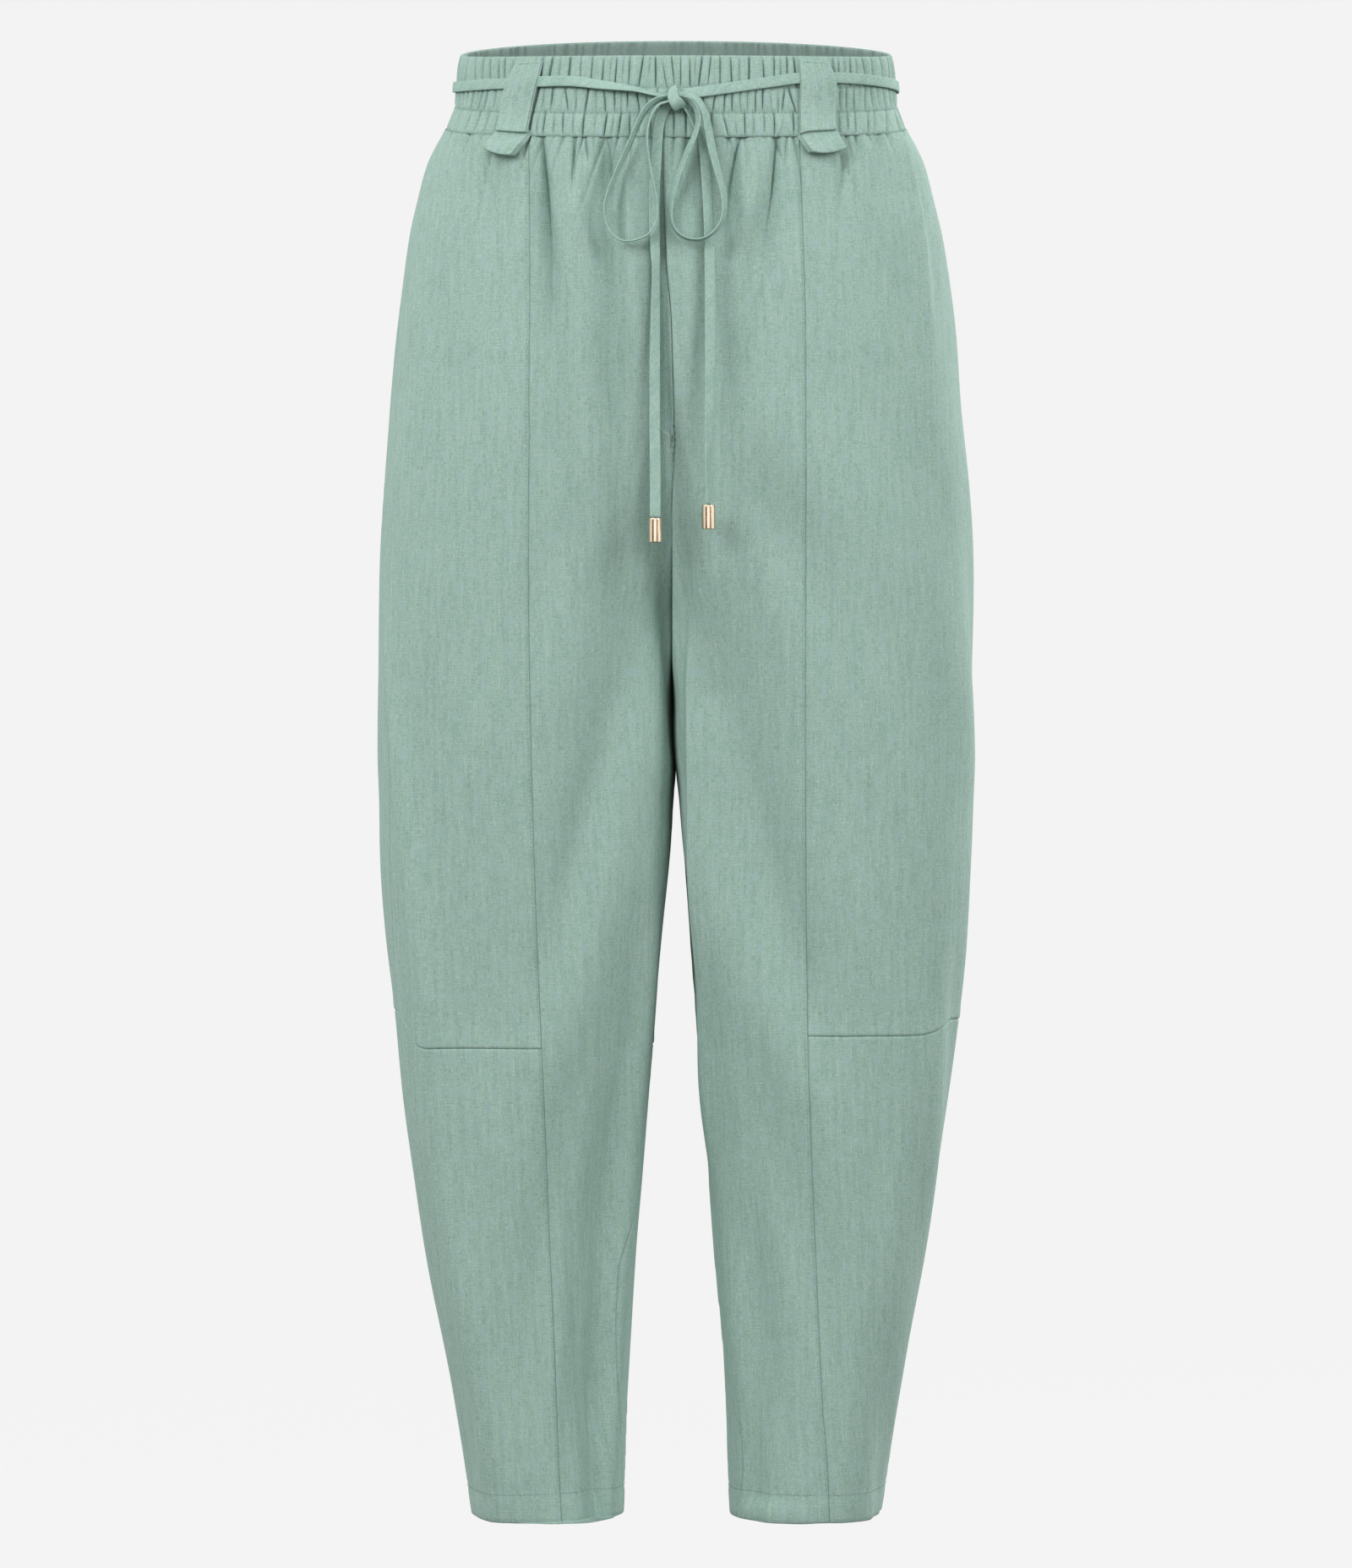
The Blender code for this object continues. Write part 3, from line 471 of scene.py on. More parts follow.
# half of the body at each height: the outer and inner side from the centre plane, the depth before and behind
body = Curves(("height", "outer", "inner", "front", "back"), (
    (60, 141.0, -141.0, 99.0, 104.0), (25, 142.5, -142.5, 101.0, 105.5), (10, 144.5, -144.5, 102.0, 106.5),
    (-8, 145.8, -145.8, 103.0, 108.0), (-15, 147.5, -147.5, 103.4, 108.6),
    (-23, 150.7, -150.7, 104.0, 109.5), (-39, 160.0, -159.5, 105.5, 112.0),
    (-50, 165.0, -163.5, 107.0, 114.0), (-73, 171.0, -165.0, 109.0, 117.5),
    (-95, 176.0, -161.5, 110.5, 120.0), (-129, 181.0, -151.0, 111.5, 124.0),
    (-162, 185.0, -134.0, 111.0, 126.5), (-190, 187.6, -115.0, 109.7, 127.5),
    (-218, 190.0, -93.6, 108.0, 127.5), (-246, 192.2, -69.3, 105.5, 126.0),
    (-265, 193.4, -53.0, 103.5, 124.0), (-281, 194.3, -39.8, 101.8, 122.0),
    (-302, 195.3, -24.1, 99.5, 119.0), (-320, 195.9, -14.7, 98.0, 116.6), (-340, 196.4, -7.6, 96.4, 114.0),
    (-360, 196.8, -3.5, 95.0, 111.8), (-385, 197.1, -1.0, 93.4, 109.0), (-410, 197.3, 0.2, 91.8, 106.3),
    (-437, 197.4, 0.2, 90.0, 103.5), (-470, 196.3, 3.1, 88.0, 100.3), (-500, 195.7, 4.8, 86.0, 97.5),
    (-554, 192.4, 9.2, 82.0, 92.5), (-610, 186.8, 13.7, 78.0, 88.0), (-666, 180.6, 18.2, 75.0, 84.0),
    (-722, 172.2, 22.7, 72.0, 80.0), (-778, 163.2, 27.2, 69.0, 76.0), (-834, 152.6, 31.1, 66.0, 72.0),
    (-890, 142.5, 33.9, 63.0, 68.0), (-940, 135.2, 36.1, 60.0, 64.0),
))

# seams of each leg: the front panel seam from the centre plane, the side seam in degrees from the outer side,
# the inseam in degrees from the inner side, and the wander of the centre front seam
seams = Curves(("height", "left_panel", "right_panel", "left_side", "right_side", "left_inseam",
                "right_inseam",
                "wander"), (
    (60, 95.0, 80.5, 12.0, 4.0, 0.0, 0.0, -8.0), (-42, 95.0, 81.0, 12.0, 4.0, 0.0, 0.0, -7.9),
    (-120, 95.0, 82.8, 10.0, 4.0, 0.0, 0.0, -6.2), (-160, 95.0, 83.6, 7.5, 4.0, 0.0, 0.0, -3.0),
    (-240, 95.0, 83.6, -1.0, 4.0, 0.0, 0.0, -1.0), (-320, 95.2, 83.6, -13.0, 4.0, 0.0, 0.0, 0.0),
    (-382, 94.6, 83.6, -24.0, 4.0, 0.0, 0.0, 0.0), (-437, 93.6, 83.6, -29.0, 4.0, 0.0, 0.0, 0.0),
    (-545, 90.5, 84.0, -25.5, 4.0, 0.0, 0.0, 0.0), (-606, 88.0, 84.8, -20.5, 4.0, 0.0, 0.0, 0.0),
    (-640, 86.6, 85.7, -19.4, 4.0, 1.0, 1.0, 0.0), (-694, 84.0, 87.5, -19.6, 4.0, 8.0, 8.0, 0.0),
    (-736, 81.9, 89.2, -20.4, 4.0, 18.0, 16.0, 0.0), (-778, 79.8, 91.2, -21.5, 4.0, 25.5, 23.0, 0.0),
    (-857, 76.6, 95.2, -24.8, 4.0, 22.0, 30.5, 0.0), (-902, 75.2, 98.8, -26.0, 4.0, 14.0, 33.5, 0.0),
    (-940, 73.5, 100.7, -27.0, 4.0, 4.0, 27.0, 0.0),
))


def superellipse(angle):
    cosine, sine = np.cos(angle), np.sin(angle)
    power = cloth["roundness"]
    reach = (np.abs(cosine) ** power + np.abs(sine) ** power) ** (-1 / power)
    return cosine * reach, sine * reach


def sectionPoint(angle, height):
    # point of the right half's outer face, round its section from the outer side, the front negative
    angle, height = np.broadcast_arrays(np.asarray(angle, dtype=float), np.asarray(height, dtype=float))
    outer, inner = body.at("outer", height), body.at("inner", height)
    across, along = superellipse(angle)
    depth = np.where(along < 0, body.at("front", height), body.at("back", height))
    return np.stack(((outer + inner) / 2 + (outer - inner) / 2 * across, depth * along, height), axis=-1)


def outward(angle, height):
    # way out of the cloth, and the distance that one radian covers there
    turn, rise = 0.002, 0.5
    roundIt = sectionPoint(angle + turn, height) - sectionPoint(angle - turn, height)
    upIt = sectionPoint(angle, height + rise) - sectionPoint(angle, height - rise)
    return unit(np.cross(roundIt, upIt)), np.linalg.norm(roundIt, axis=-1) / (2 * turn)


def frontAngle(x, height):
    outer, inner = body.at("outer", height), body.at("inner", height)
    across = np.clip((x - (outer + inner) / 2) / ((outer - inner) / 2), -1, 1)
    power = cloth["roundness"]
    return np.arctan2(-((1 - np.abs(across) ** power) ** (1 / power)), across)


def centreShift(x, y, height):
    wander = seams.at("wander", height) * eased(-y / 60) * np.exp(-(x / 55) ** 2)
    begun = eased((levels["crotch"] + 70 - height) / 60)
    unfinished = eased((height + 437) / 40 + 0.5)
    return wander + 2.5 * np.tanh(y / 20) * np.exp(-(x / 40) ** 2) * begun * unfinished


hollow = Curves(("height", "left", "right"), (
    (-262, 0, 0), (-302, 1, 8), (-340, 8, 24), (-380, 24, 34), (-430, 33, 36), (-480, 32, 32),
    (-540, 26, 24), (-610, 15, 13), (-680, 6, 5), (-740, 0, 0)))


def hollowFill(side, point, height):
    # the fronts of the two legs rest against each other, so the hollow between them is shallow
    beside = np.maximum(point[..., 0] - np.maximum(body.at("inner", height), 0), 0)
    return hollow.at(side, height) * np.exp(-beside / 13) * eased(-point[..., 1] / 26)


def skin(side, angle, height, lift=0.0, tuck=0.0):
    # point of the cloth in the world, lifted out of the plain form, or tucked in where it is sewn
    normal, _ = outward(angle, height)
    point = sectionPoint(angle, height)
    # beside the centre seam the cloth moves only to and fro, so the two halves stay together
    freed = eased((levels["crotch"] - np.asarray(height)) / 90)
    beside = eased(point[..., 0] / 22) * (1 - freed) + freed
    free = np.stack((beside, np.ones(beside.shape), beside), axis=-1)
    point = point + normal * free * np.asarray(lift)[..., None]
    point[..., 1] -= hollowFill(side, point, np.asarray(height))
    pressed = point[..., :1] < cloth["press"]
    normal = np.where(pressed, (-1.0, 0.0, 0.0), normal)
    point = np.concatenate((np.maximum(point[..., :1], cloth["press"]), point[..., 1:]), axis=-1)
    point = point - normal * np.asarray(tuck)[..., None]
    x, y, z = np.moveaxis(point, -1, 0)
    return np.stack((sides[side] * x + centreShift(x, y, np.asarray(height)), y, z), axis=-1)


def level(heights, angle):
    front, side, back = heights
    _, along = superellipse(angle)
    return side + (back - front) / 2 * along + ((back + front) / 2 - side) * along * along


def knee(side, angle):
    front, outer = levels["knee"][side]
    return outer + (front - outer) * eased((np.abs(np.degrees(angle)) - 20) / 30)


def centreSeam(height):
    # along the cut between the halves, then down the crotch curve inside it
    fallen = np.clip((-200 - height) / 102, 0, 1)
    depth = 1 - fallen ** 2.4
    curve = np.arctan2(-depth, -((1 - depth ** cloth["roundness"]) ** (1 / cloth["roundness"])))
    return np.minimum(frontAngle(0.15, height), curve)


def innerFront(side, height):
    inseam = np.radians(seams.at(side + "_inseam", height)) - np.pi
    return np.where(height > levels["crotch"], centreSeam(height), inseam)


def innerBack(side, height):
    inseam = np.radians(seams.at(side + "_inseam", height)) + np.pi
    return np.where(height > levels["crotch"], -centreSeam(height), inseam)


def panelSeam(side, height):
    return frontAngle(seams.at(side + "_panel", height), height)


def sideSeam(side, height):
    return np.radians(seams.at(side + "_side", height)) + 0 * height


band = {"wall": 2.1, "rows": (0.386, 0.70), "puff": 0.35, "gap": 0.1, "lobe": 0.25, "highest": 0.95,
        "cut": 2.4, "cutWidth": 0.32, "crowd": 3.0,
        "deepest": 1.5, "columns": 1280, "stitch": 3.4}
# Creases of the three channels: place at the channel's top and bottom, in millimetres across, and strength
bandCreases = (
    ((-138.7, -140.2, 1), (-135.7, -138.2, 1), (-131, -131, 1.2), (-125.2, -126.4, 1),
     (-120.6, -120.6, 1.1), (-115, -115, 1), (-111, -111, 0.9), (-105, -106, 0.5), (-98, -99, 0.4),
     (-90, -92, 0.5), (-79.4, -83.2, 2.1), (-85.9, -88.8, 1.8), (-74, -76, 0.5), (-67.8, -70, 1.9),
     (-61, -62, 0.5), (-53.6, -55.2, 1.1), (-46, -48.1, 1), (-41.5, -43, 0.4), (-37.8, -39.6, 1.2),
     (-33.6, -35, 0.4), (-29.6, -30.7, 1), (-20.9, -24.2, 2.0), (-16.4, -18.4, 0.4), (-13.1, -13.1, 2.0),
     (-9.5, -5.9, 0.6), (-3, -0.8, 1), (3, 3, 1), (9, 9, 1), (12.6, 12, 0.3), (17, 14.4, 1.7),
     (22.6, 20.4, 1), (28.4, 28.4, 1), (35.1, 36.2, 1.2), (41, 41, 0.4), (47.1, 47.1, 1.8),
     (55.8, 57.4, 1.1), (63.4, 63.4, 1), (67.4, 67.6, 0.4), (71.7, 71.7, 1), (76.1, 78, 1.8), (84, 84, 0.4),
     (92, 92, 0.4), (101.9, 101.9, 1.3), (105.4, 105.4, 1), (109.4, 109.6, 0.4), (113.1, 113.1, 1.1),
     (117, 118, 0.4), (121.2, 124.1, 1.3), (127.3, 128.4, 1.1), (133.4, 135.7, 1.2), (138.7, 139.4, 1.1)),
    ((-138.4, -140.6, 0.8), (-135.7, -137.8, 1), (-131.6, -134.6, 1), (-128, -131.6, 0.5),
     (-125.4, -129.3, 1), (-122.3, -125.8, 1.1), (-117, -119, 0.5), (-109.6, -113, 0.9), (-101, -103, 0.4),
     (-89.0, -93.0, 2.4), (-85, -87, 0.5), (-79.4, -81.6, 1.1), (-71.7, -69.5, 1), (-64, -65, 0.5),
     (-56.3, -59.1, 1.9), (-51, -52, 0.4), (-46.5, -45.4, 1), (-39.6, -39.6, 1), (-35, -35.4, 0.4),
     (-31.3, -31.3, 1), (-25.8, -23.1, 1.1), (-19, -18, 0.4), (-12, -12, 0.6), (-5, -6, 0.6), (3, 3, 0.6),
     (10, 10, 0.7), (17, 17, 0.6), (25.8, 23.6, 1.1), (31.8, 31, 1.2), (36.2, 36.2, 1), (41, 42, 0.4),
     (46, 46.4, 0.5), (51.4, 51.4, 1.1), (56.1, 56.1, 1.2), (61, 62, 0.4), (66.4, 66, 0.5),
     (70.6, 68.4, 1.2), (72.6, 78, 1.9), (85, 85, 0.4), (94, 94, 0.4), (102.5, 102.5, 2.2),
     (106.8, 106.4, 1.0), (111, 111, 1.1), (116.1, 116.1, 1), (120, 120, 0.4), (123.5, 123.5, 1.1),
     (127.3, 129, 1), (131.4, 133.4, 0.4), (135.1, 137.6, 1.1), (139.4, 141.4, 0.8)),
    ((-146, -152, 0.8), (-140, -146, 1), (-133, -139, 0.6), (-127, -132, 0.8), (-121, -125, 0.6),
     (-113.6, -116.9, 2.2), (-106, -108, 0.4), (-93.2, -95.4, 2.6), (-89, -90, 0.5), (-84.3, -86, 1.1),
     (-78.4, -79, 0.5), (-72.8, -72.8, 1), (-66, -66.4, 0.5), (-59.1, -60.2, 1.9), (-51.6, -53, 0.5),
     (-44.3, -46.5, 1.9), (-39.6, -41.4, 0.4), (-35.1, -37.2, 1.1), (-29.6, -29.6, 1), (-24, -23.6, 0.5),
     (-16, -16, 0.7), (-8.4, -8.4, 1.5), (-1.4, -1.4, 1.4), (6.6, 6.6, 1.8), (14, 14, 0.6), (22.6, 22.6, 1),
     (30, 34, 1.1), (37.6, 39.4, 0.4), (44.3, 44.3, 1.2), (50, 50, 0.4), (57, 57, 0.5), (63.4, 63.4, 1.2),
     (69.5, 64.8, -0.8), (75.9, 75.9, 1.4), (84, 84, 0.4), (94, 95, 0.4), (102.3, 102.1, 1.8),
     (105.6, 105.4, 1.0), (111.6, 111.6, 1.1), (116.7, 116.7, 1), (125.2, 125.2, 1.1), (129.3, 129.3, 0.8),
     (137.6, 137.6, 1.1), (143, 147, 0.8)),
)


def bandHeight(angle, share):
    top = level(levels["bandTop"], angle)
    return top + (level(levels["waist"], angle) + band["gap"] - top) * share


def bearingAt(x, share):
    # degrees from the front centre, right positive, of a place across the front of the band
    own = np.abs(np.asarray(x, dtype=float))
    angle = np.full(own.shape, -1.2)
    for _ in range(4):
        angle = frontAngle(own, bandHeight(angle, share))
    return np.sign(x) * (np.degrees(angle) + 90)


def bandLines(channel, rng):
    # creases of a channel all round: those of the front, then drawn ones round the back
    top, bottom, strength = np.array(bandCreases[channel]).T
    marks = (0.0, *band["rows"], 1.0)
    lines = np.stack((bearingAt(top, marks[channel]), bearingAt(bottom, marks[channel + 1]), strength),
                     axis=1)
    lines = lines[np.abs(lines[:, 0]) < 84]
    around, drawn = lines[-1, 0] + 1.5, []
    while around < 360 + lines[0, 0] - 1.8:
        around += rng.uniform(1.3, 3.4)
        strong = rng.uniform(0.4, 1.3) + (rng.random() < 0.16) * 0.7
        drawn.append((around, around + rng.uniform(-1.0, 1.0), strong))
    drawn = np.array([line for line in drawn if line[0] < 360 + lines[0, 0] - 1.0])
    return np.vstack((lines, drawn))


bandRandom = np.random.default_rng(3)
bandChannels = [bandLines(channel, bandRandom) for channel in range(3)]


# Each fold is a line of rows: height, place, width to its left and to its right, depth. A place is in
# millimetres across the front, or in degrees round the leg from its outer side, the front negative. Depths
# below zero are ridges. "sharp" folds come to a crease in the middle.
frontFolds = {
    "left": (
        ("sharp", (-38, -86.8, 3, 2, 2.2), (-50, -86, 5, 2.2, 3.2), (-68, -84.8, 8, 2.8, 3.6),
         (-90, -83.6, 10, 3.4, 3.4), (-112, -82.5, 11, 5, 2.6), (-134, -82, 13, 8, 1.6),
         (-170, -82, 15, 12, 0.6), (-200, -82, 15, 12, 0)),
        ("soft", (-60, -85, 12, 7, 0), (-105, -83, 13, 8, 2.4), (-160, -82, 14, 10, 3.4),
         (-220, -81, 15, 12, 3.0), (-300, -79, 17, 14, 1.8), (-400, -77, 18, 16, 0)),
        ("sharp", (-40, -64.6, 2, 2, 1.8), (-54, -66, 3.5, 2.2, 1.8), (-66, -67, 5, 3, 1.1),
         (-84, -68, 6, 5, 0)),
        ("sharp", (-40, -58.6, 2, 2, 1.6), (-50, -57.4, 2.6, 2.2, 1.2), (-62, -56, 3, 3, 0)),
        ("soft", (-38, -46, 3, 2.4, 2.6), (-52, -42.6, 7, 4, 3.4), (-85, -41, 11, 7, 4.4),
         (-132, -41.5, 12, 8, 4.8), (-199, -39, 14, 9, 5.0), (-250, -36, 15, 10, 3.4),
         (-310, -33, 16, 13, 1.4), (-390, -30, 16, 14, 0)),
        ("sharp", (-38, -45.6, 2, 1.6, 1.6), (-50, -43, 4, 2, 1.8), (-72, -41, 6, 3, 0.9),
         (-90, -41, 6, 4, 0)),
        ("soft", (-40, -9, 3, 3, 0.4), (-60, -9, 3, 3, 1.4), (-110, -9.5, 4, 3.5, 3.0),
         (-170, -9.5, 6, 4, 6.0), (-226, -8.5, 9, 4.5, 7.0), (-262, -8, 12, 5, 6.4), (-310, -7, 14, 6, 4.4),
         (-360, -6, 12, 6, 1.6), (-420, -4, 10, 7, 0)),
        ("sharp", (-38, -30, 2.4, 2, 1.2), (-50, -29, 3, 2.4, 0.9), (-64, -28, 4, 3, 0)),
        ("sharp", (-36, -135, 3, 3, 1.8), (-47, -140, 4, 4, 0.9), (-62, -145, 5, 5, 0)),
        ("soft", (-38, -112, 4, 4, 1.2), (-70, -116, 7, 7, 1.4), (-120, -120, 10, 10, 0.8),
         (-170, -122, 12, 12, 0)),
        # the bent front edge of the leg, a ridge that runs inwards as it falls
        ("soft", (-332, -190, 6, 10, 0), (-388, -186.4, 7, 11, -1.6), (-434, -181, 7, 12, -2.6),
         (-512, -174, 7, 13, -3.4), (-575, -168, 7, 14, -3.6), (-617, -163.6, 7, 15, -3.6),
         (-691, -159.2, 7, 16, -3.4), (-718, -154.7, 7, 16, -3.2), (-800, -139, 7, 15, -3.0),
         (-876, -126, 7, 14, -2.4), (-911, -122, 8, 14, -1.6), (-940, -119, 8, 14, -1.0)),
        # long soft trough down the inner front below the knee
        ("soft", (-520, -24, 30, 14, 0), (-600, -26, 40, 14, 2.8), (-680, -32, 44, 13, 6.4),
         (-760, -37, 48, 12, 9.0), (-850, -41, 46, 11, 9.0), (-910, -44, 42, 10, 6.4),
         (-940, -45, 40, 10, 4.8)),
        ("soft", (-640, -68, 9, 7, 0), (-720, -66, 9, 7, 0.7), (-800, -58, 8, 6, 0.7),
         (-870, -52, 8, 6, 0.4), (-930, -50, 8, 6, 0)),
        ("soft", (-430, -120, 20, 20, 0), (-520, -128, 20, 20, 1.0), (-600, -126, 20, 20, 1.2),
         (-700, -112, 20, 18, 0)),
    ),
    "right": (
        # the full inner front of the leg, standing forward beside the middle
        ("soft", (-320, 10, 6, 13, 0), (-400, 11, 7, 15, -2.0), (-520, 14, 8, 16, -2.6),
         (-640, 19, 8, 16, -2.0), (-740, 24, 8, 16, 0)),
        # the cloth stands out under the hanging tie
        ("soft", (-190, 22, 14, 18, 0), (-270, 21, 16, 20, -3.2), (-310, 21, 16, 20, -3.4),
         (-400, 22, 16, 20, 0)),
        ("sharp", (-40, 8.4, 2, 2, 2.0), (-52, 6.6, 3, 2.4, 2.4), (-66, 3.4, 4, 3, 1.6),
         (-86, 1.6, 5, 4, 0)),
        ("sharp", (-40, 33.4, 2, 2, 1.6), (-60, 33, 3, 3, 0)),
        ("sharp", (-38, 42.6, 2.2, 1.8, 2.2), (-50, 39.6, 4, 2.2, 3.0), (-63, 37.4, 6, 3, 3.2),
         (-77, 35.5, 7, 4, 2.6), (-95, 33.4, 8, 5, 1.4), (-125, 31, 9, 8, 0)),
        ("soft", (-50, 38, 8, 5, 0), (-77, 35, 11, 6, 2.2), (-109, 31.4, 13, 8, 3.6),
         (-145, 29, 14, 9, 3.4), (-190, 28, 15, 11, 3.0), (-240, 27, 16, 13, 2.2), (-290, 26, 17, 15, 1.2),
         (-350, 26, 17, 15, 0)),
        ("sharp", (-38, 65.4, 2, 1.8, 1.8), (-50, 64.8, 3.6, 2, 2.6), (-71, 63.4, 5.5, 2.6, 2.6),
         (-82, 62.4, 6.5, 3, 2.2), (-106, 59, 8, 5, 1.2), (-130, 54, 9, 7, 0)),
        ("soft", (-75, 63, 9, 5, 0), (-106, 57.6, 12, 6, 2.8), (-157, 45, 15, 7, 4.0),
         (-200, 38.5, 16, 9, 3.4), (-250, 34.5, 16, 12, 2.0), (-320, 32, 16, 14, 0)),
        ("sharp", (-38, 72, 2, 2, 1.0), (-50, 71, 3, 2.4, 0.9), (-62, 70, 3, 3, 0)),
        ("sharp", (-36, 111, 2.4, 2.4, 2.0), (-54, 109.6, 4.5, 3, 1.8), (-75, 108, 6.5, 5, 0.9),
         (-100, 106, 8, 7, 0)),
        ("sharp", (-36, 117, 2, 2, 1.8), (-46, 118, 3, 2.6, 1.2), (-60, 120, 4, 4, 0)),
        ("soft", (-36, 132, 3, 3, 0.9), (-60, 134, 6, 6, 0.8), (-100, 137, 9, 9, 0)),
        # edge of the pocket bag behind the cloth
        ("soft", (-34, 149, 6, 2.4, -0.6), (-55, 154, 8, 2.6, -1.2), (-77, 157.4, 10, 3, -1.4),
         (-99, 160.6, 11, 4, -1.2), (-137, 163.5, 12, 5, -1.0), (-171, 165, 13, 7, -0.6),
         (-230, 167, 14, 10, 0)),
        ("soft", (-600, 48, 18, 26, 0), (-690, 50, 16, 28, 2.6), (-780, 50, 14, 28, 4.2),
         (-860, 50, 13, 26, 4.0), (-930, 50, 12, 24, 2.0)),
        ("soft", (-520, 140, 22, 20, 0), (-600, 142, 20, 20, 1.2), (-700, 134, 20, 18, 1.2),
         (-800, 122, 18, 16, 0)),
    ),
}
roundFolds = {
    "left": (
        ("soft", (-320, -138, 20, 20, 0), (-480, -118, 20, 20, 4.0), (-640, -98, 20, 20, 0)),
        ("soft", (-600, -120, 18, 18, 0), (-755, -98, 18, 18, 2.6), (-910, -75, 18, 18, 0)),
        ("soft", (-4, 15, 6, 5, 2.2), (-60, 16, 10, 8, 2.4), (-130, 18, 13, 12, 1.2),
         (-200, 20, 14, 14, 0)),
        ("sharp", (-4, 24, 4, 4, 2.4), (-60, 26, 8, 6, 2.2), (-140, 29, 12, 10, 0)),
        ("sharp", (-4, 34, 5, 5, 1.8), (-50, 36, 8, 7, 1.6), (-110, 39, 12, 12, 0)),
        ("soft", (4, 45, 6, 6, 3.2), (-90, 47, 11, 9, 3.8), (-220, 51, 15, 12, 2.2), (-330, 54, 16, 16, 0)),
        ("soft", (0, 54, 8, 7, 3.0), (-60, 57, 13, 12, 3.8), (-120, 60, 14, 13, 2.2),
         (-180, 62, 14, 14, 0)),
        ("sharp", (0, 63, 4, 4, 2.2), (-40, 66, 7, 5, 1.8), (-90, 68, 9, 8, 0)),
        ("soft", (0, 74, 8, 7, 3.4), (-70, 78, 13, 11, 4.0), (-150, 83, 14, 13, 1.8),
         (-210, 86, 14, 14, 0)),
        ("sharp", (2, 82, 4, 3, 2.0), (-30, 83, 6, 5, 1.4), (-60, 84, 8, 8, 0)),
        ("soft", (2, 94, 6, 5, 2.2), (-60, 98, 10, 8, 2.4), (-120, 103, 12, 12, 0)),
        ("soft", (-150, 128, 16, 12, 0), (-230, 118, 16, 12, 2.6), (-310, 104, 18, 14, 1.6),
         (-360, 96, 18, 16, 0)),
        ("soft", (-300, 142, 20, 20, 0), (-450, 124, 20, 16, 4.4), (-600, 105, 20, 20, 0)),
        ("soft", (-400, 80, 22, 22, 0), (-520, 70, 22, 22, 1.6), (-640, 62, 22, 22, 0)),
        ("soft", (-560, 128, 18, 18, 0), (-730, 106, 16, 15, 3.4), (-900, 84, 18, 18, 0)),
        ("soft", (-580, 40, 18, 18, 0), (-700, 48, 18, 16, 1.8), (-860, 58, 16, 16, 0)),
    ),
    "right": (
        ("soft", (-320, -136, 20, 20, 0), (-490, -116, 20, 20, 3.8), (-660, -96, 20, 20, 0)),
        ("soft", (-620, -118, 18, 18, 0), (-765, -98, 18, 18, 2.4), (-915, -78, 18, 18, 0)),
        ("soft", (-4, 17, 6, 5, 2.4), (-70, 18, 10, 8, 2.6), (-150, 21, 13, 12, 1.0),
         (-190, 22, 14, 14, 0)),
        ("sharp", (-6, 28, 5, 5, 1.6), (-44, 30, 8, 7, 1.4), (-90, 33, 12, 12, 0)),
        ("sharp", (-2, 37, 4, 4, 2.6), (-54, 39, 8, 6, 2.2), (-120, 42, 12, 10, 0)),
        ("soft", (4, 43, 6, 6, 2.8), (-100, 46, 11, 9, 3.4), (-240, 50, 15, 12, 2.4),
         (-350, 53, 16, 16, 0)),
        ("soft", (0, 50, 8, 7, 3.2), (-60, 53, 13, 11, 3.6), (-120, 57, 14, 13, 2.2),
         (-180, 60, 14, 14, 0)),
        ("sharp", (0, 59, 4, 4, 2.4), (-34, 61, 7, 5, 1.8), (-76, 64, 9, 8, 0)),
        ("soft", (0, 70, 8, 7, 3.6), (-64, 75, 13, 11, 3.8), (-130, 80, 14, 13, 2.0),
         (-190, 84, 14, 14, 0)),
        ("sharp", (2, 79, 4, 3, 1.8), (-24, 80, 6, 5, 1.2), (-50, 81, 8, 8, 0)),
        ("soft", (2, 91, 6, 5, 2.0), (-50, 96, 10, 8, 2.6), (-104, 101, 12, 12, 0)),
        ("soft", (-160, 126, 16, 12, 0), (-240, 115, 16, 12, 2.2), (-320, 102, 18, 14, 1.4),
         (-370, 95, 18, 16, 0)),
        ("soft", (-310, 140, 20, 20, 0), (-465, 120, 20, 16, 4.2), (-620, 100, 20, 20, 0)),
        ("soft", (-420, 76, 22, 22, 0), (-540, 68, 22, 22, 1.4), (-650, 60, 22, 22, 0)),
        ("soft", (-600, 120, 18, 18, 0), (-755, 100, 16, 15, 3.2), (-910, 80, 18, 18, 0)),
        ("soft", (-600, 36, 18, 18, 0), (-720, 44, 18, 16, 1.6), (-870, 52, 16, 16, 0)),
    ),
}
gathers = {"depth": 1.9, "fall": (5.0, 22.0), "width": (0.8, 2.0)}
waves = {"count": 9, "amplitude": 0.42, "across": (55, 170), "down": (110, 420)}
foldStrength = {"sharp": 2.9, "soft": 2.2}
hiddenStrength = {"sharp": 3.0, "soft": 2.6}
foldColumns = ("height", "place", "left", "right", "depth")


def foldLines(side):
    made = [(kind, True, Curves(foldColumns, rows)) for kind, *rows in frontFolds[side]]
    return made + [(kind, False, Curves(foldColumns, rows)) for kind, *rows in roundFolds[side]]


def lineAngle(side, x, height):
    # where a place across the front lies round the leg, given the wander of the middle
    own = sides[side] * x
    for _ in range(3):
        y = -body.at("front", height)
        own = np.maximum(sides[side] * (x - centreShift(np.abs(own), y, height)), 0.0)
    return frontAngle(own, height)


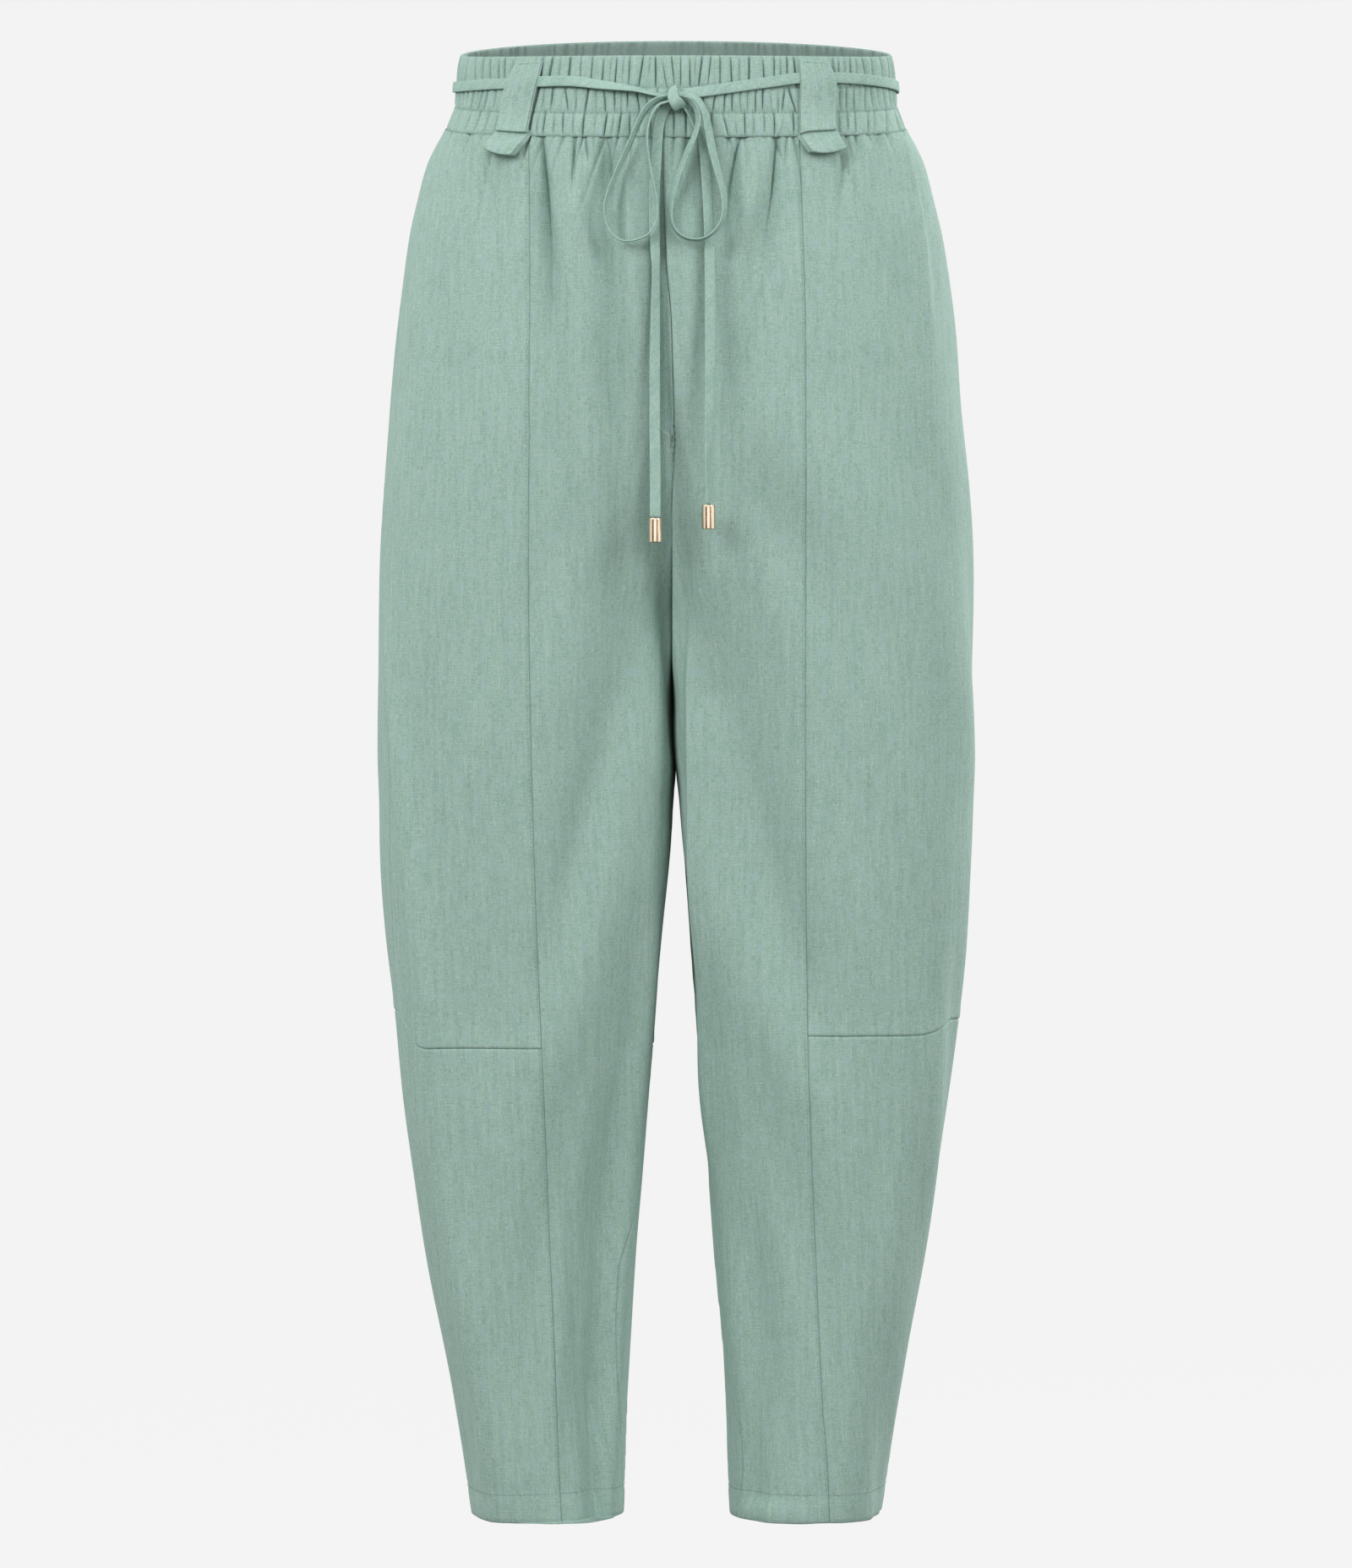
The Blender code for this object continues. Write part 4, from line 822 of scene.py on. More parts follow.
def gatherLines(side):
    # small tucks let go by the waist seam, each under a crease of the band's lowest channel
    rng = np.random.default_rng(11 if side == "left" else 12)
    made = []
    for _, bearing, strength in bandChannels[2]:
        bearing = (bearing + 180) % 360 - 180
        angle = math.radians(abs(bearing) - 90)
        x = math.copysign(sectionPoint(angle, -40)[0], bearing)
        fall, width = rng.uniform(*gathers["fall"]), rng.uniform(*gathers["width"])
        lean = rng.uniform(-0.6, 0.6)
        if (x > -8) == (side == "right") if abs(bearing) < 90 else (bearing > 0) == (side == "right"):
            if abs(bearing) < 60:
                angle = float(lineAngle(side, np.array(x), np.array(-41.0)))
            made.append((angle, gathers["depth"] * abs(strength), fall * (0.5 + 0.5 * abs(strength)), width,
                         lean))
    return made


def waveLines(side):
    rng = np.random.default_rng(5 if side == "left" else 6)
    return [(2 * math.pi / rng.uniform(*waves["across"]), 2 * math.pi / rng.uniform(*waves["down"]),
             rng.uniform(0, 2 * math.pi), rng.uniform(0.4, 1.0)) for _ in range(waves["count"])]


foldsOf = {side: foldLines(side) for side in sides}
gathersOf = {side: gatherLines(side) for side in sides}
wavesOf = {side: waveLines(side) for side in sides}


def relief(side, angle, height):
    # how far the cloth stands out of the plain form, and the shade painted where it lies in a crease
    _, stretch = outward(angle, height)
    total, crease = np.zeros(np.shape(stretch)), np.zeros(np.shape(stretch))
    wrapped = (angle + np.pi) % (2 * np.pi) - np.pi
    settle = 0.8 * np.exp(-np.clip(level(levels["waist"], angle) - height, 0, None) / 55)
    for kind, isFront, line in foldsOf[side]:
        low, high = line.keys[0], line.keys[-1]
        inside = (height > low) & (height < high + 60)
        if not inside.any():
            continue
        place = line.at("place", height)
        middle = lineAngle(side, place, height) if isFront else np.radians(place)
        away = (wrapped - middle) * stretch * (sides[side] if isFront else 1)
        width = np.where(away < 0, line.at("left", height), line.at("right", height))
        if kind == "sharp":
            broad = np.exp(-(np.abs(away) / width) ** 1.5)
            shape = (1 - settle) * broad + settle * np.exp(-np.abs(away) / (0.5 + width * 0.12))
            sharpFoldShade = np.clip(line.at("depth", height) / 3, 0, 1)
            sharpFoldShade = sharpFoldShade * np.exp(-(away / (0.45 + width * 0.05)) ** 2)
            # painted shade along the bottom of a sharp fold
            crease += np.where(inside, sharpFoldShade * (0.2 + settle), 0)
        else:
            shape = np.exp(-(away / width) ** 2)
        strength = (foldStrength if isFront else hiddenStrength)[kind]
        total -= np.where(inside, strength * line.at("depth", height) * shape, 0)
    fallen = level(levels["waist"], angle) - height
    total += 0.8 * np.exp(-np.clip(fallen, 0, None) / 7)
    for middle, depth, fall, width, lean in gathersOf[side]:
        away = (wrapped - middle) * stretch + lean * fallen * 0.4
        faded = np.exp(-np.clip(fallen, 0, None) / fall)
        total -= depth * faded * np.exp(-np.abs(away / width) ** 1.4)
        # painted shade along each gather
        crease += 0.4 * min(depth, 2.5) * faded * np.exp(-(away / (0.3 + 0.3 * width)) ** 2)
    settled = eased((fallen + 5) / 60)
    for across, down, start, size in wavesOf[side]:
        total += waves["amplitude"] * size * settled * np.cos(across * wrapped * 125 + down * height + start)
    # with painted shade along the waist seam
    return total, crease + 0.5 * np.exp(-(fallen / 0.7) ** 2)


print("form and folds ready")


nearEdge = np.array([0.0, 0.4, 0.9, 1.5, 2.3, 3.4])
waistFold = {"deepest": 2.0, "deeper": 0.45}  # how deep a fold may be at the waist seam, and a mm below it
seamShape = {"dip": 0.5, "dipWidth": 0.6, "ridge": 0.38, "pucker": 0.10, "puckerLength": 7.5}
hemRows = ((-926, 0), (-931, 0), (-936, 0), (-939, -0.05), (-939.8, -0.4), (-940, -1.05), (-939.7, -1.7),
           (-938.7, -2.05), (-935, -2.15), (-929, -2.15), (-923, -2.15), (-920.8, -2.1), (-920.2, -1.8))


def graded(length, count, atStart, atEnd, lean=1.0):
    # places along a length, close together near a seam
    start = nearEdge if atStart else nearEdge[:1]
    end = length - nearEdge[::-1] if atEnd else np.array([length])
    between = np.linspace(0, 1, count - len(start) - len(end) + 3)[1:-1] ** lean
    inner = start[-1] + (end[0] - start[-1]) * between
    return np.concatenate((start, inner, end))


def rowsOf(spans):
    # rows as level above, share below it, extra lift, tuck; a seam's row is doubled, the copy tucked in
    made = []
    for above, count, seamAbove, seamBelow in spans:
        length = (268.0, 320.0, 300.0)[above]
        shares = graded(length, count, seamAbove, seamBelow, 1.0 if above else 1.35) / length
        if made and not seamAbove:
            shares = shares[1:]
        if seamAbove:
            made.append((above, 0.0, 0.0, cloth["tuck"]))
        made += [(above, share, 0.0, 0.0) for share in shares]
        if seamBelow:
            made.append((above, 1.0, 0.0, cloth["tuck"]))
    return made


def hemmed(rows):
    reach = levels["hem"] - levels["hemTurn"]
    return rows + [(3, (z - levels["hemTurn"]) / reach, lift, 0.0) for z, lift in hemRows]


def placeInPanel(side, edges, share, above, below):
    height = np.full(share.shape, levels["crotch"])
    for _ in range(6):
        start, end = (edge(side, height) for edge in edges)
        angle = start + (end - start) * share
        marks = np.stack(np.broadcast_arrays(level(levels["waist"], angle), levels["crotch"],
                                             knee(side, angle),
                                             levels["hemTurn"], levels["hem"]))
        lower = np.take_along_axis(marks, np.broadcast_to(above + 1, angle.shape)[None], 0)[0]
        upper = np.take_along_axis(marks, np.broadcast_to(above, angle.shape)[None], 0)[0]
        height = upper + (lower - upper) * below
    return angle, height


def clothPanel(name, side, edges, columns, rows, seamed, nodes):
    # seamed says which of the top and bottom rows end at a seam
    above, below, lift, tuck = (np.array(values)[:, None] for values in zip(*rows))
    above = above.astype(int)
    coarse = np.linspace(0, 1, 61)[None] * np.ones((len(rows), 1))
    coarseAngle, coarseHeight = placeInPanel(side, edges, coarse, above, below)
    points = sectionPoint(coarseAngle, coarseHeight)
    walked = np.concatenate((np.zeros((len(rows), 1)),
                             np.cumsum(np.linalg.norm(np.diff(points, axis=1), axis=2),
                                                                axis=1)), axis=1)
    widths = walked[:, -1]
    across = np.stack([graded(width, columns, True, True) for width in widths])
    share = np.stack([np.interp(place, line, coarse[0]) for place, line in zip(across, walked)])
    share = np.concatenate((share[:, :1], share, share[:, -1:]), axis=1)
    across = np.concatenate((across[:, :1], across, across[:, -1:]), axis=1)
    angle, height = placeInPanel(side, edges, share, above, below)
    fromStart, fromEnd = across, widths[:, None] - across
    total, crease = relief(side, angle, height)
    # folds start shallow at the waist seam
    fallen = np.clip(level(levels["waist"], angle) - height, 0, None)
    deepest = waistFold["deepest"] + waistFold["deeper"] * fallen
    total = np.where(total < 0, -deepest * np.tanh(-total / deepest), total) + lift
    shape = seamShape
    for away in (fromStart, fromEnd):
        total = total - shape["dip"] * np.exp(-(away / shape["dipWidth"]) ** 2)
        pucker = shape["pucker"] * np.cos(2 * np.pi * height / shape["puckerLength"])
        total = total + pucker * np.exp(-(away / 5) ** 2)
    # the turnings lie to the left of the seam, stitched down beside it
    sewn = edges.index(panelSeam) if panelSeam in edges else None
    turned = {("right", 1): fromEnd, ("left", 0): fromStart}.get((side, sewn))
    if turned is not None:
        total = total + shape["ridge"] * eased(turned / 0.9) * (1 - eased((turned - 7) / 2.5))
        total = total - 0.26 * np.exp(-((turned - 1.7) / 0.55) ** 2)
    waistAway = level(levels["waist"], angle) - height
    total = total - 0.15 * np.exp(-(waistAway / 0.6) ** 2)
    if "knee" in seamed:
        kneeAway = height - knee(side, angle)
        upper = kneeAway >= 0
        total = total - shape["dip"] * np.exp(-(kneeAway / 0.75) ** 2)
        puckers = shape["pucker"] * 1.3 * np.cos(2 * np.pi * angle * 120 / 6.5) * np.exp(-(kneeAway / 5) ** 2)
        total = total + puckers + np.where(upper, shape["ridge"], 0) * eased(kneeAway / 0.9) * (
            1 - eased((kneeAway - 7) / 2.5))
    total = total - 0.3 * np.exp(-((height - levels["hemTurn"]) / 0.8) ** 2)
    total = total + 0.25 * eased((levels["hemTurn"] - height) / 2)
    tucks = np.broadcast_to(tuck, total.shape).copy()
    tucks[:, (0, -1)] = cloth["tuck"]
    points = skin(side, angle, height, total, tucks)
    normals, _ = outward(angle, height)
    normals = normals * np.array((sides[side], 1, 1))
    # the grain runs straight down beside the front panel seam, or down the middle of the back
    if edges[1] is innerBack:
        backLine = -frontAngle(100.0, coarseHeight.mean(axis=1))
        start = np.array([np.interp(*line) for line in zip(backLine, coarseAngle, walked)])[:, None]
    else:
        start = widths[:, None] if edges[1] is panelSeam else 0.0
    grain = np.stack((across - start, height + 0 * across), axis=-1)
    # painted shade in the creases, and in a thin line along each seam
    crease = np.clip(crease, 0, 1) + 0.24 * np.exp(-(np.minimum(fromStart, fromEnd) / 0.5) ** 2)
    piece = gridPiece(name, points, grain, outwards=normals, crease=crease)
    solidify(piece, cloth["shell"])
    ridden(piece, linenMaterial, "linen", *nodes)
    "gathered" if "waist" in seamed else "hung"
    print(" ", name, "width", round(widths.max()), "length", round(np.ptp(height)))
    return piece


wholeRows = hemmed(rowsOf(((0, 84, True, False), (1, 64, False, False), (2, 60, False, False))))
upperRows = rowsOf(((0, 78, True, False), (1, 62, False, True)))
lowerRows = hemmed(rowsOf(((2, 66, True, False),)))
panelCuts = (
    ("front_centre", (innerFront, panelSeam), 172, wholeRows, ("waist",)),
    ("front_side_upper", (panelSeam, sideSeam), 96, upperRows, ("waist", "knee")),
    ("front_side_lower", (panelSeam, sideSeam), 56, lowerRows, ("knee",)),
    ("back_upper", (sideSeam, innerBack), 150, upperRows, ("waist", "knee")),
    ("back_lower", (sideSeam, innerBack), 90, lowerRows, ("knee",)),
)
for side in sides:
    for cut, edges, columns, rows, seamed in panelCuts:
        clothPanel(f"{cut}_{side}_cloth", side, edges, columns, rows, seamed, [f"{cut}_{side}"])
print("panels made")


def lobes(bearings, lines, t, scale):
    # cloth between neighbouring creases stands out in round lobes; scale is millimetres a degree
    places = np.sort(lines[:, 0] + (lines[:, 1] - lines[:, 0]) * t)
    order = np.argsort(lines[:, 0] + (lines[:, 1] - lines[:, 0]) * t)
    # all but the strongest creases fade out towards one end
    fade = 1 + (1.8 * (np.arange(len(order)) * 0.37 % 1) - 0.9) * (2 * t - 1) * (lines[order, 2] < 1.6)
    strength = lines[order, 2] * np.clip(fade, 0.15, 1.35)
    places = np.concatenate(([places[-1] - 360], places, [places[0] + 360]))
    strength = np.concatenate((strength[-1:], strength, strength[:1]))
    where = np.where(bearings < places[0], bearings + 360, bearings)
    i = np.clip(np.searchsorted(places, where, side="right") - 1, 0, len(places) - 2)
    span = np.maximum(places[i + 1] - places[i], 0.05)
    share = np.clip((where - places[i]) / span, 0, 1)
    width = span * scale
    # round the sides the creases are wider and softer
    soft = np.clip(np.abs((bearings + 180) % 360 - 180) / 62, 0, 1) ** 2
    skewed = share ** (0.7 + 0.6 * (i * 0.618 % 1))  # no two lobes are quite alike
    arch = (4 * skewed * (1 - skewed)) ** (0.36 + 0.4 * soft) * np.minimum(width * band["lobe"],
                                                                           band["highest"])
    toLeft, toRight = share * width, (1 - share) * width
    narrow = band["cutWidth"] * (1 + 1.2 * soft)
    cut = strength[i] * np.exp(-toLeft / narrow) + strength[i + 1] * np.exp(-toRight / narrow)
    # the second value is painted shade for the creases, lighter round the sides
    return arch - band["cut"] * cut, (cut - 0.25) * 0.9 * (1 - 0.5 * soft)


def crowded(bearings, lines, t, scale):
    # the columns of a row, drawn together at its creases so that these stay crisp, and back beside a
    # stitched row
    crowd = band["crowd"] * eased(min(t, 1 - t) / 0.25)
    places = lines[:, 0] + (lines[:, 1] - lines[:, 0]) * t
    places = (places + 180) % 360 - 180
    fine = np.linspace(-180, 180, 7201)
    spacing = np.interp(fine, (bearings[1:] + bearings[:-1]) / 2, np.diff(bearings))
    density = 1 / spacing
    for place, strength in zip(places, lines[:, 2]):
        near = slice(*np.searchsorted(fine, (place - 1.6, place + 1.6)))
        pull = crowd * min(abs(strength), 1.4) * np.exp(-((fine[near] - place) * scale / 0.75) ** 2)
        density[near] += pull * density[near]
    plain = np.concatenate(([0.0], np.cumsum(1 / spacing[1:])))
    walked = np.concatenate(([0.0], np.cumsum((density[1:] + density[:-1]) / 2)))
    walked = np.interp(walked, walked[::150], plain[::150])
    even = np.linspace(0, walked[-1], len(bearings))
    return np.interp(even, walked, fine)


def waistband():
    rng, channels = bandRandom, bandChannels
    marks = np.array((0.0, *band["rows"], 1.0))
    # columns stand closer at the front
    spread = np.linspace(-1, 1, band["columns"] + 1)
    bearings = 180 * (spread * 0.72 + 0.28 * np.sign(spread) * np.abs(spread) ** 3)
    shares = np.concatenate((np.linspace(1, 0.7, 11)[:-1], np.linspace(0.7, 0.386, 11)[:-1],
                             np.linspace(0.386, 0.012, 13)))
    _, stretch = outward(np.radians(np.abs(bearings) - 90),
                         bandHeight(np.radians(np.abs(bearings) - 90), 0.4))
    scale = stretch * np.radians(1)
    outs, places, turns, paintedCutShade = [], [], [], []

    def puffed(share):
        channel = int(np.clip(np.searchsorted(marks, share, side="right") - 1, 0, 2))
        t = (share - marks[channel]) / (marks[channel + 1] - marks[channel])
        fullness = max(4 * t * (1 - t), 0.0) ** 0.5
        ease = 0.4 + 0.6 * fullness
        own = crowded(bearings, channels[channel], t, scale.mean())
        ownScale = np.interp(own, bearings, scale)
        row, cut = lobes(own, channels[channel], t, ownScale)
        row = row * ease
        nearStitch = math.exp(-(min(t if channel else 1, (1 - t) if channel < 2 else 1) / 0.06) ** 2)
        pits = 0.34 * np.cos(2 * np.pi * own * scale.mean() / band["stitch"])
        row = row + band["puff"] * fullness - 0.35 + pits * nearStitch - 0.3 * nearStitch
        row = np.where(row < 0, band["deepest"] * np.tanh(row / band["deepest"]), row)
        # the third value is painted shade in the creases, and along the stitched rows
        return row, own, cut * (0.3 + 0.7 * fullness) + 0.35 * nearStitch

    for share in shares:
        row, own, cut = puffed(share)
        outs.append(row)
        paintedCutShade.append(cut)
        turns.append(own)
        places.append(share)
    stitchRows = [int(np.argmin(np.abs(shares - mark))) for mark in band["rows"]]
    # over the top edge and down the inside, where the cloth is creased more coarsely
    topLobes = outs[-1]
    inner = np.stack((np.sort(rng.uniform(-180, 180, 170)), np.zeros(170), rng.uniform(0.5, 1.6, 170)),
                     axis=1)
    inner[:, 1] = inner[:, 0] + rng.uniform(-1.0, 1.0, 170)
    for step in np.linspace(0.15, 0.85, 5):
        swing = math.pi * step
        outs.append(topLobes * (1 - step) - band["wall"] * (1 - math.cos(swing)) / 2)
        turns.append(turns[len(shares) - 1] * (1 - step) + bearings * step)
        paintedCutShade.append(paintedCutShade[len(shares) - 1] * (1 - step))
        places.append(0.012 - 0.022 * math.sin(swing))
    for share in np.linspace(0.02, 1.0, 20):
        depth, cut = lobes(bearings, inner, share, scale)
        firm = 0.5 if min(abs(share - mark) for mark in marks[1:3]) < 0.03 else 1.0
        dent = 0.6 * np.tanh(depth * firm * min(1, share / 0.03) / 0.6)
        outs.append(-band["wall"] - 0.2 - np.where(depth < 0, dent, depth * firm * min(1, share / 0.03)))
        turns.append(bearings)
        # lighter painted shade in the creases inside
        paintedCutShade.append(cut * 0.6)
        places.append(share)
    outs.append(outs[0])
    turns.append(turns[0])
    paintedCutShade.append(paintedCutShade[0])
    places.append(places[0])
    points, grain, length = [], [], 0.0
    foldedOut = np.concatenate(([0.0], np.cumsum(np.diff(bearings) * scale[1:] * 1.35)))
    ways = []
    for i, (out, share, own) in enumerate(zip(outs, places, turns)):
        angle = np.radians(np.abs(own) - 90)
        mirror = np.where(own < 0, -1.0, 1.0)
        mirror = np.stack((mirror, mirror * 0 + 1, mirror * 0 + 1), axis=1)
        height = bandHeight(angle, share)
        way, _ = outward(angle, height)
        points.append((sectionPoint(angle, height) + way * np.asarray(out)[:, None]) * mirror)
        ways.append(way * mirror)
        length += 0 if i == 0 else max(abs(share - places[i - 1]) * 51, abs(np.mean(out - outs[i - 1])))
        grain.append(np.stack((np.interp(own, bearings, foldedOut), np.full(len(own), length)), axis=1))
    points = np.array(points)
    points[:, -1] = points[:, 0]
    # the band's creases carry painted shade
    piece = gridPiece("waistband_cloth", points, np.array(grain), joined=True, crease=np.array(paintedCutShade))
    ridden(piece, bandMaterial, "linen", "waistband")
    return [(points[row] + ways[row] * 0.1, ways[row]) for row in stitchRows]


bandStitchLines = waistband()
print("waistband made")


loops = {"cloth": 0.8, "columns": 16}
# Rows down each part of a loop: left edge x, z and distance from the band, then the right edge's, then how
# far the row droops at its left end and sags in its middle. The last rows of a part go under and back up.
loopParts = {
    "left": {
        "strap": ((-102.9, 9.6, 1.6, -86.3, 9.3, 1.8, 0, 0), (-105.0, 4.0, 2.9, -87.2, 3.4, 2.9, 0, 0),
                  (-107.1, -2.4, 4.2, -88.4, -3.9, 4.2, 0, 0), (-108.8, -7.6, 4.5, -89.3, -8.0, 4.5, 0, 0),
                  (-110.5, -12.8, 4.3, -90.6, -13.4, 4.3, 0, 0),
                  (-111.8, -19.0, 3.6, -92.2, -19.4, 3.8, 0, 0),
                  (-112.9, -25.0, 3.2, -93.6, -26.4, 3.6, 0, 0),
                  (-113.9, -30.0, 3.4, -94.6, -32.0, 3.8, 0, 0),
                  (-114.6, -34.6, 4.2, -95.4, -37.4, 4.6, 0.4, 0.3),
                  (-114.7, -35.6, 4.0, -95.5, -38.4, 4.4, 0.5, 0.4),
                  (-114.7, -35.6, 2.8, -95.5, -38.4, 3.2, 0.5, 0.4),
                  (-114.4, -33.4, 2.0, -95.2, -36.0, 2.2, 0.2, 0.2)),
        "tab": ((-114.6, -33.6, 1.0, -95.2, -36.2, 1.0, 0, 0),
                (-116.6, -37.2, 2.4, -96.0, -40.6, 2.8, 0, 0.1),
                (-118.6, -41.0, 4.2, -98.0, -44.6, 4.8, 0, 0.5),
                (-120.2, -44.2, 5.4, -100.6, -48.8, 6.4, 0, 0.9),
                (-121.4, -46.4, 5.8, -102.8, -52.0, 7.2, 0, 1.2),
                (-122.1, -47.6, 5.6, -104.0, -53.5, 7.4, 0, 1.4),
                (-121.9, -47.6, 4.4, -103.8, -53.6, 6.2, 0, 1.4),
                (-120.2, -44.6, 3.2, -101.4, -50.0, 4.6, 0, 1.0),
                (-118.2, -41.0, 2.2, -98.4, -45.4, 3.0, 0, 0.6),
                (-116.8, -38.4, 1.4, -96.4, -42.0, 1.8, 0, 0.2)),
    },
    "right": {
        "strap": ((79.1, 9.8, 1.6, 98.0, 9.5, 1.8, 0, 0), (79.2, 4.6, 3.0, 99.6, 4.4, 3.0, 0, 0),
                  (79.3, -1.0, 4.2, 101.2, -1.8, 4.2, 0, 0), (79.4, -7.0, 4.5, 102.0, -7.4, 4.5, 0, 0),
                  (79.4, -13.0, 4.2, 102.1, -13.2, 4.2, 0, 0), (79.4, -19.4, 3.6, 102.0, -19.0, 3.6, 0, 0),
                  (79.4, -26.0, 3.4, 101.9, -25.6, 3.4, 0.6, 0),
                  (79.4, -31.4, 3.9, 101.8, -31.2, 3.9, 1.6, 0),
                  (79.4, -35.8, 4.7, 101.7, -35.4, 4.7, 2.8, 0.6),
                  (79.4, -37.0, 4.4, 101.7, -36.4, 4.4, 3.0, 0.7),
                  (79.5, -37.0, 3.2, 101.6, -36.4, 3.2, 2.8, 0.7),
                  (79.6, -34.6, 2.2, 101.4, -34.2, 2.2, 2.0, 0.4)),
        "tab": ((80.0, -34.6, 1.0, 101.6, -33.6, 1.0, 0, 0), (80.2, -38.6, 2.2, 102.4, -35.8, 2.2, 0, 0),
                (80.6, -42.2, 3.6, 103.8, -39.0, 3.4, 0, 0.3),
                (82.4, -45.8, 5.0, 105.2, -42.4, 4.4, 0, 0.9),
                (84.2, -49.2, 6.2, 106.6, -45.8, 5.4, 0, 1.5),
                (85.8, -51.8, 6.6, 107.7, -48.3, 5.8, 0, 1.9),
                (85.8, -51.8, 5.2, 107.6, -48.4, 4.6, 0, 1.9),
                (84.0, -48.4, 3.8, 106.0, -45.2, 3.4, 0, 1.3),
                (82.0, -44.0, 2.4, 104.4, -41.2, 2.2, 0, 0.6),
                (80.8, -40.6, 1.4, 103.4, -38.0, 1.4, 0, 0.2)),
    },
}
# each part lies on further layers of cloth, whose edges show beside it: how far beside and how far below
loopLayers = {"left": {"strap": ((0, 0), (0.75, 0.95)), "tab": ((0, 0), (0.8, 0.95), (1.6, 1.9))},
              "right": {"strap": ((0, 0), (-0.5, 0.95)), "tab": ((0, 0), (-0.95, 0.95), (-1.9, 1.9))}}


def frontPoint(x, height, out):
    # point in front of the body at x, and the way out of it
    x, height = np.asarray(x, dtype=float), np.asarray(height, dtype=float)
    angle = frontAngle(np.abs(x), height)
    normal, _ = outward(angle, height)
    mirror = np.stack((np.where(x < 0, -1.0, 1.0), np.ones(x.shape), np.ones(x.shape)), axis=-1)
    return (sectionPoint(angle, height) + normal * np.asarray(out)[..., None]) * mirror, normal * mirror


def loopPart(name, stations, beside, below):
    route, _ = smoothRoute([(0, 10 * i, 0, *row) for i, row in enumerate(stations)], 1.7)
    rows = route[:, 3:, None]
    share = np.linspace(0, 1, loops["columns"] + 1)[None]
    leftX, leftZ, leftOut, rightX, rightZ, rightOut, droop, sag = (rows[:, i] for i in range(8))
    slide = beside * share if beside > 0 else beside * (1 - share)
    x = leftX + (rightX - leftX) * share + slide
    z = leftZ + (rightZ - leftZ) * share - droop * np.exp(-share / 0.2) - sag * 4 * share * (1 - share)
    out = leftOut + (rightOut - leftOut) * share
    distance = np.minimum(share, 1 - share) * 20
    out = out + 0.25 * eased(distance / 3) - 0.12 * np.exp(-((distance - 1.6) / 0.45) ** 2) - below
    out = np.maximum(out, 0.5)
    points, normals = frontPoint(x, z, out)
    walked = np.concatenate(([0.0], np.cumsum(np.linalg.norm(np.diff(points[:, 10], axis=0), axis=1))))
    grain = np.stack(np.broadcast_arrays(share * 21, walked[:, None]), axis=-1)
    return gridPiece(name, points, grain, outwards=normals), walked[-1]


def joinedPiece(name, pieces):
    bm = bmesh.new()
    for piece in pieces:
        mesh = piece.data
        bm.from_mesh(mesh)
        bpy.data.objects.remove(piece)
        bpy.data.meshes.remove(mesh)
    mesh = bpy.data.meshes.new(name)
    bm.to_mesh(mesh)
    bm.free()
    mesh.shade_smooth()
    piece = bpy.data.objects.new(name, mesh)
    bpy.context.scene.collection.objects.link(piece)
    return piece


def frontLoop(side):
    made, length = [], 0
    for part, stations in loopParts[side].items():
        for beside, below in loopLayers[side][part]:
            piece, walked = loopPart("part", stations, beside, below)
            made.append(piece)
        length += walked
    piece = joinedPiece(f"belt_loop_{side}_cloth", made)
    solidify(piece, loops["cloth"])
    rounding = piece.modifiers.new("edge", "BEVEL")
    rounding.width = 0.22 * mm
    rounding.segments = 2
    rounding.limit_method = "ANGLE"
    ridden(piece, linenMaterial, "linen", "belt_loop_" + side)
    return piece, length


for side in sides:
    piece, length = frontLoop(side)
    print("  loop", side, "length", round(float(length), 1))


def backLoop():
    share = np.linspace(0, 1, 15)[None]
    shares = np.linspace(0.02, 0.97, 44)
    height = bandHeight(np.pi / 2, shares)
    out = 1.4 + 2.6 * eased((shares - 0.02) / 0.12) * eased((0.98 - shares) / 0.2)
    back = body.at("back", height)
    points = np.stack(np.broadcast_arrays((share - 0.5) * 22, (back + out)[:, None], height[:, None]),
                      axis=-1)
    edge = np.minimum(share, 1 - share) * 22
    rim = 0.25 * eased(edge / 3) - 0.22 * np.exp(-((edge - 1.6) / 0.45) ** 2)
    points = points + np.array((0, 1, 0)) * rim[..., None]
    grain = np.stack(np.broadcast_arrays(share * 22, -height[:, None]), axis=-1)
    piece = gridPiece("belt_loop_back_cloth", points, grain,
                      outwards=np.zeros(points.shape) + (0.0, 1.0, 0.0))
    solidify(piece, loops["cloth"])
    ridden(piece, linenMaterial, "linen", "belt_loop_back")


backLoop()
print("belt loops made")


tieRun = Curves(("bearing", "height", "turn", "out"), (
    (-180, 23.0, 0, 2.2), (-150, 20.0, 0, 2.2), (-120, 12.5, 0, 2.2), (-90, 3.4, 0, 2.2),
    (-47, -4.1, 0, 2.3), (-28, -5.2, 4, 2.6), (-18, -8.7, 30, 3.0), (-10, -11.8, 56, 3.6),
    (-3, -15.9, 66, 4.2), (3, -14.6, 10, 4.0), (7, -13.2, 4, 3.2), (16, -9.5, 0, 2.6), (25, -5.7, 0, 2.3),
    (31, -3.1, 0, 2.3), (43, -1.0, 0, 2.3), (68, 0.8, 0, 2.2), (90, 2.8, 0, 2.2), (120, 12.5, 0, 2.2),
    (150, 20.0, 0, 2.2), (180, 23.0, 0, 2.2)))


